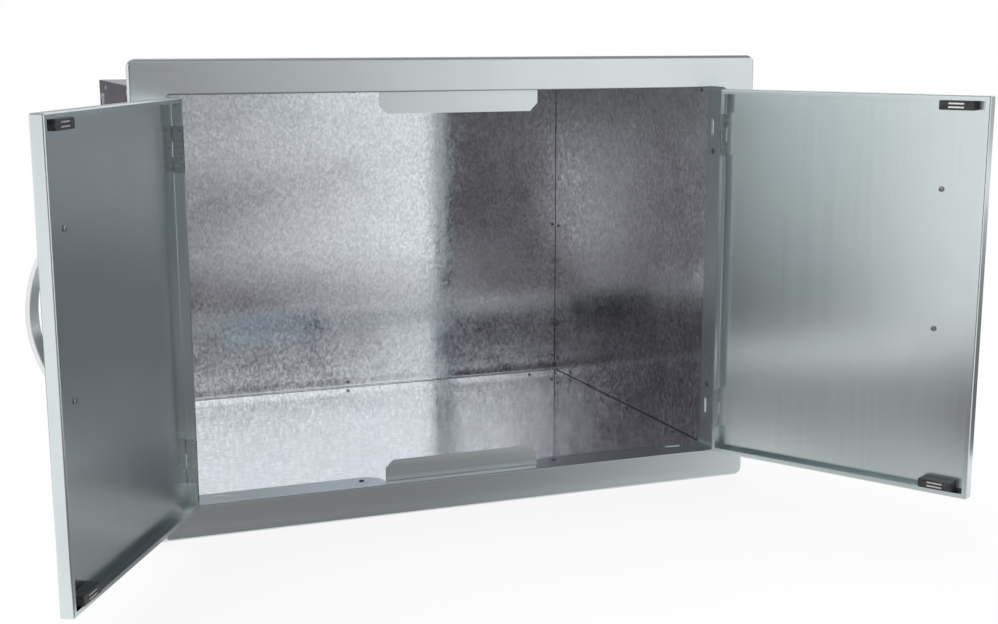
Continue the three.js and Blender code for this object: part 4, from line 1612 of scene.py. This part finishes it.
@dataclass
class BowHandle:
    """A bowed flat strap, square on to the door at both ends, and the two screws that hold it."""

    plan: Plan
    finishes: Finishes
    side: Side
    pitch: float = 160 * MM
    rise: float = 37 * MM
    width: float = 18 * MM
    thickness: float = 5 * MM
    edge: float = 0.9 * MM
    radius: float = 111.6 * MM
    bow: float = 55 * MM
    turn: float = 6.5 * MM
    to_edge: float = 55.5 * MM
    lift: float = 43 * MM
    screw_head: float = 3.2 * MM
    screw_height: float = 1.8 * MM
    screw_shank: float = 1.5 * MM
    screw_bite: float = 4 * MM
    screw_point: float = 0.4 * MM
    point_share: float = 0.8
    rim_share: float = 0.25
    recess_long: float = 1.75 * MM
    recess_short: float = 0.42 * MM
    recess_overrun: float = 0.2 * MM
    recess_floor_share: float = 0.35
    recess_taper_share: float = 0.55

    @property
    def place(self) -> float:
        """How far the handle lies from the pin, across the door."""
        return self.plan.across_door(self.to_edge)

    def path(self) -> np.ndarray:
        """The strap's middle line in Y and Z: an arc, and at each end a bend on to the door.

        Returns:
            The points, from the lower end to the upper.
        """
        centre_radius = self.radius - self.thickness / 2
        centre = self.plan.door_face + self.radius - self.rise
        reach = math.asin(self.bow / centre_radius)
        angle = np.linspace(-reach, reach, 49)
        arc = np.stack([centre - centre_radius * np.cos(angle), centre_radius * np.sin(angle)], axis=-1)
        half, foot = self.pitch / 2, self.plan.door_face - self.plan.gap
        corner = arc[-1, 0] + math.tan(reach) * (half - self.bow)
        end = rounded(np.array([arc[-1], [corner, half], [foot, half]]), self.turn, 10)[1:]
        return np.vstack([(end * (1, -1))[::-1], arc, end])

    def strap(self, inward: int) -> Surface:
        """A rounded section carried along the middle line.

        Point (i, j) is path point i, plus section point j's first coordinate across the door and
        its second along the path's own normal.

        Args:
            inward: The sign of the way to the middle of the cabinet.

        Returns:
            The strap.
        """
        outline = Outline(self.width, self.thickness, self.edge, steps=5)
        section = outline.loops(np.zeros(1), np.zeros(1))[0]
        path = self.path()
        facing = sideways(path)
        loops = np.zeros((len(path), len(section), 3))
        loops[:, :, 0] = inward * self.place + section[:, 0]
        loops[:, :, 1:] = path[:, None, :] + facing[:, None, :] * section[None, :, 2, None]
        return lofted(loops)

    def screw(self, inward: int, level: Level) -> Surface:
        """A pan-head screw driven from inside the door, with a cross recess.

        The head's height over its radius is the top of an ellipse, and the recess is two crossed
        tapering wedges cut from it.

        Args:
            inward: The sign of the way to the middle of the cabinet.
            level: The upper or the lower screw.

        Returns:
            The screw.
        """
        plan, shank, face = self.plan, self.screw_shank, self.plan.door_face
        seat, point = face + plan.sheet + plan.gap, face - self.screw_bite
        angle = np.linspace(0, math.pi / 2, 9)
        crown = seat + self.screw_height * (self.rim_share + (1 - self.rim_share) * np.sin(angle))
        dome = np.stack([self.screw_head * np.cos(angle), crown], axis=-1)
        dome[-1, 0] = 0.0
        stem = [[0, point], [shank * self.point_share, point], [shank, point + self.screw_point],
                [shank, seat], [self.screw_head, seat]]
        profile = np.vstack([stem, dome])
        floor = seat + self.recess_floor_share * self.screw_height
        top = seat + self.screw_height + self.recess_overrun
        arms = []
        for x, z in ((self.recess_long, self.recess_short), (self.recess_short, self.recess_long)):
            square = np.array([[-x, -z], [x, -z], [x, z], [-x, z]])
            loops = [np.insert(taper * square, 1, y, axis=1)
                     for y, taper in ((floor, self.recess_taper_share), (top, 1.0))]
            arms.append(lofted(np.array(loops)))
        cross = carved(carved(lathe(profile, 36), arms[:1]), arms[1:])
        height = plan.middle + self.lift + level.value * self.pitch / 2
        return cross.shifted((inward * self.place, 0.0, height))

    def pieces(self) -> list[Piece]:
        """The strap and its screws.

        Returns:
            Three pieces.
        """
        inward, word, seat = -self.side.value, self.side.word, self.plan.door_seat(self.side)
        strap = self.strap(inward).shifted((0.0, 0.0, self.plan.middle + self.lift))
        made = [Piece(f"{word}_bow", strap, self.finishes.handle, f"{word}_door", "handle_steel",
                      (f"{word}_handle",), seat)]
        made += [Piece(f"{word}_{level.word}_screw", self.screw(inward, level), self.finishes.screw,
                       f"{word}_door", "screw_steel", (f"{word}_{level.word}_handle_screw",), seat)
                 for level in Level]
        return made


@dataclass
class MagneticCatch:
    """A double catch: moulded case, two steel pole plates bent from one strip, and the magnet."""

    plan: Plan
    finishes: Finishes
    side: Side
    level: Level
    length: float = 40 * MM
    width: float = 10.4 * MM
    proud: float = 2.5 * MM
    to_edge: float = 38 * MM
    corner: float = 1.0 * MM
    edge: float = 0.7 * MM
    wall: float = 1.6 * MM
    base: float = 1.0 * MM
    pole_length: float = 18 * MM
    pole_thickness: float = 1.8 * MM
    pole_pitch: float = 4.1 * MM
    pole_proud: float = 0.3 * MM
    pole_depth: float = 12 * MM
    pole_bend: float = 0.05 * MM

    @property
    def face(self) -> float:
        """Y of the pole plates' tips, from the pin."""
        return self.plan.door_face + self.plan.door_thickness + self.proud

    def case(self) -> Surface:
        """The moulded case: a rounded block with a slot for each pole and a pocket behind.

        Returns:
            The case, about its own middle in X and Z.
        """
        foot = self.plan.door_face + self.plan.sheet + self.plan.gap
        front = self.face - self.pole_proud
        outline = Outline(self.length, self.width, self.corner, steps=4)
        section = (Section().at(self.edge, foot).bend(self.edge, foot + self.edge, self.edge, 1, 0, 3)
                   .bend(self.edge, front - self.edge, self.edge, 0, -1, 4))
        block = lofted(section.swept(outline)[1:])
        half, thick = self.pole_length / 2 + self.plan.gap, self.pole_thickness / 2 + self.plan.gap
        slots = [box((-half, foot + self.base, z - thick), (half, front + OVERRUN, z + thick))
                 for z in (-self.pole_pitch / 2, self.pole_pitch / 2)]
        return carved(block, slots)

    def yoke(self) -> Surface:
        """The pole plates, joined behind the magnet, with softened tips.

        Returns:
            Both plates and what joins them, as one.
        """
        half = self.pole_pitch / 2
        foot, tip = self.face - self.pole_depth, self.face
        path = rounded(np.array([[tip, -half], [foot, -half], [foot, half], [tip, half]]),
                       self.pole_thickness / 2 + self.pole_bend, 4)
        return prism(ribbon(path, self.pole_thickness), 0, -self.pole_length / 2, self.pole_length / 2)

    def magnet(self) -> Surface:
        """The ferrite block between the plates.

        Returns:
            The block.
        """
        half = (self.pole_pitch - self.pole_thickness) / 2 - self.plan.gap
        foot = self.face - self.pole_depth + self.pole_thickness / 2 + self.plan.gap
        roof = self.face - self.pole_proud - self.wall - self.plan.gap
        return box((-self.pole_length / 2, foot, -half), (self.pole_length / 2, roof, half))

    def pieces(self) -> list[Piece]:
        """Case, poles and magnet of one catch.

        Returns:
            The three pieces.
        """
        inward, word, plan = -self.side.value, self.side.word, self.plan
        reach = plan.door_height / 2 - plan.door_lip - plan.gap - self.width / 2
        shift = (inward * plan.across_door(self.to_edge), 0.0, plan.middle + self.level.value * reach)
        stem, seat, body = f"{word}_{self.level.word}", plan.door_seat(self.side), f"{word}_door"
        return [
            Piece(f"{stem}_catch_case", self.case().shifted(shift), self.finishes.plastic, body,
                  "catch_plastic", (f"{stem}_catch_housing",), seat),
            Piece(f"{stem}_catch_poles", self.yoke().shifted(shift), self.finishes.pole, body,
                  "pole_steel", (f"{stem}_pole_yoke",), seat),
            Piece(f"{stem}_catch_ferrite", self.magnet().shifted(shift), self.finishes.ferrite, body,
                  "ferrite", (f"{stem}_catch_magnet",), seat),
        ]


@dataclass
class SideSheets:
    """The flat side sheets, which stay as the solid model has them and get their zinc."""

    finishes: Finishes

    def dress(self) -> None:
        """Gives both side sheets their material."""
        for side in Side:
            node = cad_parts[f"{side.word}_side_panel"]
            node.data.materials.clear()
            node.data.materials.append(self.finishes.side_zinc)
            LOG.info("%s: dressed", node.name)


# Studio

WHITE = (1.0, 1.0, 1.0, 1.0)
MID_GREY: Tone = (0.4, 0.4, 0.41)
GREY: Tone = (0.3, 0.3, 0.31)
SLATE: Tone = (0.16, 0.15, 0.16)
DARK: Tone = (0.12, 0.12, 0.12)
PLUM: Tone = (0.09, 0.075, 0.085)


@dataclass(frozen=True)
class Camera:
    """The photograph's viewpoint."""

    place: tuple[float, float, float] = (-0.61463, -1.68382, 0.52718)
    tilt: float = math.pi / 2 - 0.205381
    turn: float = -0.380450
    lens: float = 55.27
    sensor: float = 36.0
    shift: tuple[float, float] = (-0.01183, 0.04086)

    def stand(self) -> None:
        """Makes the camera and hands it to the scene."""
        data = bpy.data.cameras.new("camera")
        data.sensor_width = self.sensor
        data.lens = self.lens
        data.shift_x, data.shift_y = self.shift
        made = bpy.data.objects.new("camera", data)
        made.location = self.place
        made.rotation_euler = (self.tilt, 0.0, self.turn)
        bpy.context.scene.collection.objects.link(made)
        bpy.context.scene.camera = made


@dataclass(frozen=True)
class Flag:
    """A dim card, out of shot, that only the metal's reflections show.

    The card is opaque where its clearness is zero or less and gone where that is one or more.
    """

    name: str
    corners: tuple[tuple[float, float, float], ...]
    clearness: tuple[float, ...] = (0.0, 0.0, 0.0, 0.0)
    tone: Tone = DARK

    @classmethod
    def standing(cls, name: str, y: float, low: tuple[float, float], high: tuple[float, float],
                 **look: tuple[float, ...]) -> "Flag":
        """An upright card square to Y, from the X and Z of two opposite corners."""
        (left, foot), (right, top) = low, high
        return cls(name, ((left, y, foot), (right, y, foot), (right, y, top), (left, y, top)), **look)

    @classmethod
    def lying(cls, name: str, height: float, *corners: tuple[float, float],
              **look: tuple[float, ...]) -> "Flag":
        """A level card from the X and Y of its four corners."""
        return cls(name, tuple((x, y, height) for x, y in corners), **look)

    def hang(self) -> None:
        """Makes the card."""
        made = _as_object(Surface(np.array(self.corners), [np.arange(4)[None, :]]), self.name)
        store = made.data.attributes.new("clearness", "FLOAT", "POINT")
        store.data.foreach_set("value", np.array(self.clearness, np.float32))
        nodes = Nodes(bpy.data.materials.new(self.name))
        card = nodes.add("Emission", {"Color": (*self.tone, 1.0)}).outputs[0]
        value = nodes.add("Attribute", attribute_name="clearness").outputs["Fac"]
        clear = nodes.add("MapRange", {"Value": value}, interpolation_type="SMOOTHSTEP").outputs["Result"]
        air = nodes.add("BsdfTransparent").outputs[0]
        mixed = nodes.add("MixShader", {0: clear, 1: card, 2: air}).outputs[0]
        nodes.feed(nodes.own("OUTPUT_MATERIAL"), {"Surface": mixed})
        made.data.materials.append(nodes.owner)
        made.visible_camera = made.visible_diffuse = made.visible_shadow = False


def front_flags() -> tuple[Flag, ...]:
    """The cards on the studio's front wall, and two low ones close before the lower rail.

    Returns:
        The cards, still to be hung.
    """
    wall, foot, waist, chest, top = -6.0, -0.03, 0.95, 1.58, 4.0
    left, right = -7.0, 2.75
    sill, sill_left, sill_right = -0.035, -0.36, 0.5
    return (
        Flag.standing("low_flag", wall, (left, foot), (right, waist), clearness=(-2.3, 0.85, 1.35, -1.9)),
        Flag.standing("right_flag", wall - 0.05, (2.0, foot), (6.0, 0.3), clearness=(0.9, 0.2, 0.6, 1.3)),
        Flag.standing("mid_left_flag", wall, (left, waist), (-0.5, chest), tone=(0.065, 0.058, 0.065)),
        Flag.standing("mid_flag", wall, (-0.5, waist), (3.2, chest), clearness=(-1.25, 1.17, 1.17, -1.25),
                      tone=SLATE),
        Flag.standing("side_flag", wall, (left, chest), (-2.4, top), tone=(0.07, 0.06, 0.07)),
        Flag.standing("sill_flag", sill, (sill_left, FLAG_HEIGHT), (sill_right, 0.013),
                      clearness=(-0.23, 0.74, 0.74, -0.23), tone=(0.25, 0.25, 0.25)),
        Flag.lying("foot_flag", FLAG_HEIGHT, (sill_left, -0.007), (sill_left, -0.034), (sill_right, -0.034),
                   (sill_right, -0.007), clearness=(-0.23, -0.23, 0.74, 0.74), tone=(0.25, 0.25, 0.25)),
    )


def floor_flags() -> tuple[Flag, ...]:
    """The fan of cards on the floor in front, from the cabinet's foot to the front wall.

    A row is where near cards meet far ones. Its corners run from the left to the right, and two
    cards that share an edge share its corners.

    Returns:
        The cards, still to be hung.
    """
    step, near = ((-0.36, -0.04), (0.6, -0.04)), ((-0.42, -0.36), (-0.13, -0.36), (0.75, -0.36))
    mid = ((-1.25, -1.2), (-0.78, -1.2), (-0.43, -1.2), (1.0, -1.2))
    far = ((-4.4, -6.0), (-3.1, -6.0), (-2.4, -6.0), (2.7, -6.0))
    cards = (
        ("near_floor_flag", (step[0], (-0.40, -0.36), near[2], step[1]), (0.0, 0.15, 0.75, 1.1),
         (0.24, 0.24, 0.24)),
        ("floor_flag", (near[1], mid[2], mid[3], near[2]), (0.05, 0.05, 1.0, 0.8), PLUM),
        ("far_floor_flag", (mid[2], far[2], far[3], mid[3]), (0.05, -0.1, 0.95, 1.0), PLUM),
        ("wall_near_flag", (near[1], mid[2], mid[1], near[0]), (0.3, 0.6, 0.0, 0.0), (0.13, 0.12, 0.13)),
        ("wall_far_flag", (mid[2], far[2], far[1], mid[1]), (0.6, 0.55, 0.0, 0.0), SLATE),
        ("outer_floor_flag", (mid[1], far[1], far[0], mid[0]), (0.0, 0.0, 1.0, 1.0), (0.1, 0.09, 0.1)),
        ("outer_near_flag", ((-0.48, -0.5), mid[1], mid[0], (-0.8, -0.5)), (0.0, 0.0, 1.0, 1.0),
         (0.1, 0.09, 0.1)),
    )
    return tuple(Flag.lying(name, FLAG_HEIGHT, *corners, clearness=clearness, tone=tone)
                 for name, corners, clearness, tone in cards)


def surrounding_flags() -> tuple[Flag, ...]:
    """The cards above, beside and behind, on the floor and standing on it.

    Returns:
        The cards, still to be hung.
    """
    side, reach, rear, foot, eaves, ceiling = 7.0, 5.0, 6.0, -0.03, 2.6, 5.0
    stacked = FLAG_HEIGHT + 0.2 * MM
    return (
        Flag.lying("overhead_flag", ceiling, (-side, -reach), (side, -reach), (side, reach), (-side, reach),
                   tone=GREY),
        Flag("high_flag", ((-side, -rear, eaves), (side, -rear, eaves), (side, -reach, ceiling),
                           (-side, -reach, ceiling)), tone=GREY),
        Flag.lying("rear_floor_flag", FLAG_HEIGHT, (-1.8, 0.6), (-1.8, 3.5), (1.8, 3.5), (1.8, 0.6),
                   clearness=(0.15, 0.6, 0.6, 0.15), tone=GREY),
        Flag.lying("beside_floor_flag", FLAG_HEIGHT, (1.0, -0.6), (0.45, 0.6), (4.0, 0.6), (4.0, -0.6),
                   clearness=(0.0, 0.0, 0.3, 0.3), tone=(0.14, 0.14, 0.145)),
        Flag.lying("left_floor_flag", stacked, (-0.45, 0.1), (-0.45, 0.6), (-3.4, 1.1), (-3.4, -0.3),
                   clearness=(0.15, 0.15, 0.3, 0.3), tone=GREY),
        Flag("beside_card", ((6.5, -1.0, foot), (6.5, 5.0, foot), (6.5, 5.0, 2.5), (6.5, -1.0, 2.5)),
             tone=MID_GREY),
        Flag.standing("behind_card", rear, (-0.4, foot), (5.0, 2.5), tone=MID_GREY),
        Flag.standing("rear_flag", rear, (-4.0, foot), (-0.4, 3.0), tone=(0.13, 0.12, 0.13)),
    )


@dataclass
class Studio:
    """Pale floor, white surround, one broad key light and the cards that the metal mirrors."""

    floor_height: float = -0.0364
    floor_reach: float = 30.0
    floor_tone: Tone = (0.97, 0.97, 0.97)
    ambient: float = 0.5
    mirrored_white: float = 0.75
    seen_white: float = 0.88
    key: float = 1.7
    key_place: tuple[float, float, float] = (0.0, 1.5, 2.5)
    key_turn: tuple[float, float, float] = (math.radians(-16), math.radians(-6), 0.0)
    key_spread: float = math.radians(50)

    def floor(self) -> None:
        """A wide pale floor that shows white to the camera but keeps the object's shadow."""
        square = self.floor_reach * np.array([[-1, -1], [1, -1], [1, 1], [-1, 1]])
        points = np.column_stack([square, np.full(4, self.floor_height)])
        made = _as_object(Surface(points, [np.arange(4)[None, :]]), "floor")
        nodes = Nodes(bpy.data.materials.new("pale_floor"))
        nodes.dressed({"Base Color": (*self.floor_tone, 1.0), "Roughness": 1.0, "Specular IOR Level": 0.0})
        path = nodes.add("LightPath").outputs
        mirrored = nodes.maths("ADD", path["Is Glossy Ray"], path["Is Transmission Ray"])
        share = nodes.maths("MULTIPLY_ADD", path["Is Camera Ray"], self.seen_white,
                            nodes.maths("MULTIPLY", mirrored, self.mirrored_white))
        white = nodes.add("Emission", {"Color": WHITE}).outputs[0]
        pale = nodes.own("BSDF_PRINCIPLED").outputs[0]
        mixed = nodes.add("MixShader", {0: share, 1: pale, 2: white}).outputs[0]
        nodes.feed(nodes.own("OUTPUT_MATERIAL"), {"Surface": mixed})
        made.data.materials.append(nodes.owner)

    def sun(self) -> None:
        """A broad, soft key from above and behind."""
        data = bpy.data.lights.new("key", "SUN")
        data.energy = self.key
        data.angle = self.key_spread
        made = bpy.data.objects.new("key", data)
        made.location = self.key_place
        made.rotation_euler = self.key_turn
        bpy.context.scene.collection.objects.link(made)

    def surround(self) -> None:
        """A world that is white where it is seen or mirrored, and softer as a light."""
        nodes = Nodes(bpy.data.worlds.new("surround"))
        nodes.tree.nodes.clear()
        path = nodes.add("LightPath").outputs
        mirrored = nodes.maths("ADD", path["Is Glossy Ray"], path["Is Transmission Ray"])
        seen = nodes.maths("ADD", path["Is Camera Ray"], mirrored)
        strength = nodes.spread(seen, self.ambient, 1.0)
        light = nodes.add("Background", {"Color": WHITE, "Strength": strength}).outputs[0]
        nodes.add("OutputWorld", {"Surface": light})
        bpy.context.scene.world = nodes.owner

    def set_up(self) -> None:
        """Builds the studio."""
        bpy.context.scene.view_settings.view_transform = "Standard"
        self.floor()
        for flag in (*front_flags(), *floor_flags(), *surrounding_flags()):
            flag.hang()
        self.surround()
        self.sun()


def main() -> None:
    """Builds the studio and every sub-assembly, in the order in which the cabinet goes together."""
    logging.basicConfig(level=logging.INFO, format="%(name)s: %(message)s")
    Camera().stand()
    Studio().set_up()
    plan = Plan()
    finishes = Finishes(plan)
    SideSheets(finishes).dress()
    groups: list = [FrontFrame(plan, finishes), Pan(plan, finishes, Level.UPPER),
                    Pan(plan, finishes, Level.LOWER), BackSheet(plan, finishes), BlindRivets(plan, finishes)]
    for side in Side:
        groups += [DoorPan(plan, finishes, side), BowHandle(plan, finishes, side)]
        for level in Level:
            groups += [Hinge(plan, finishes, side, level), MagneticCatch(plan, finishes, side, level)]
    for group in groups:
        for piece in group.pieces():
            piece.made()


if __name__ == "__main__":
    main()
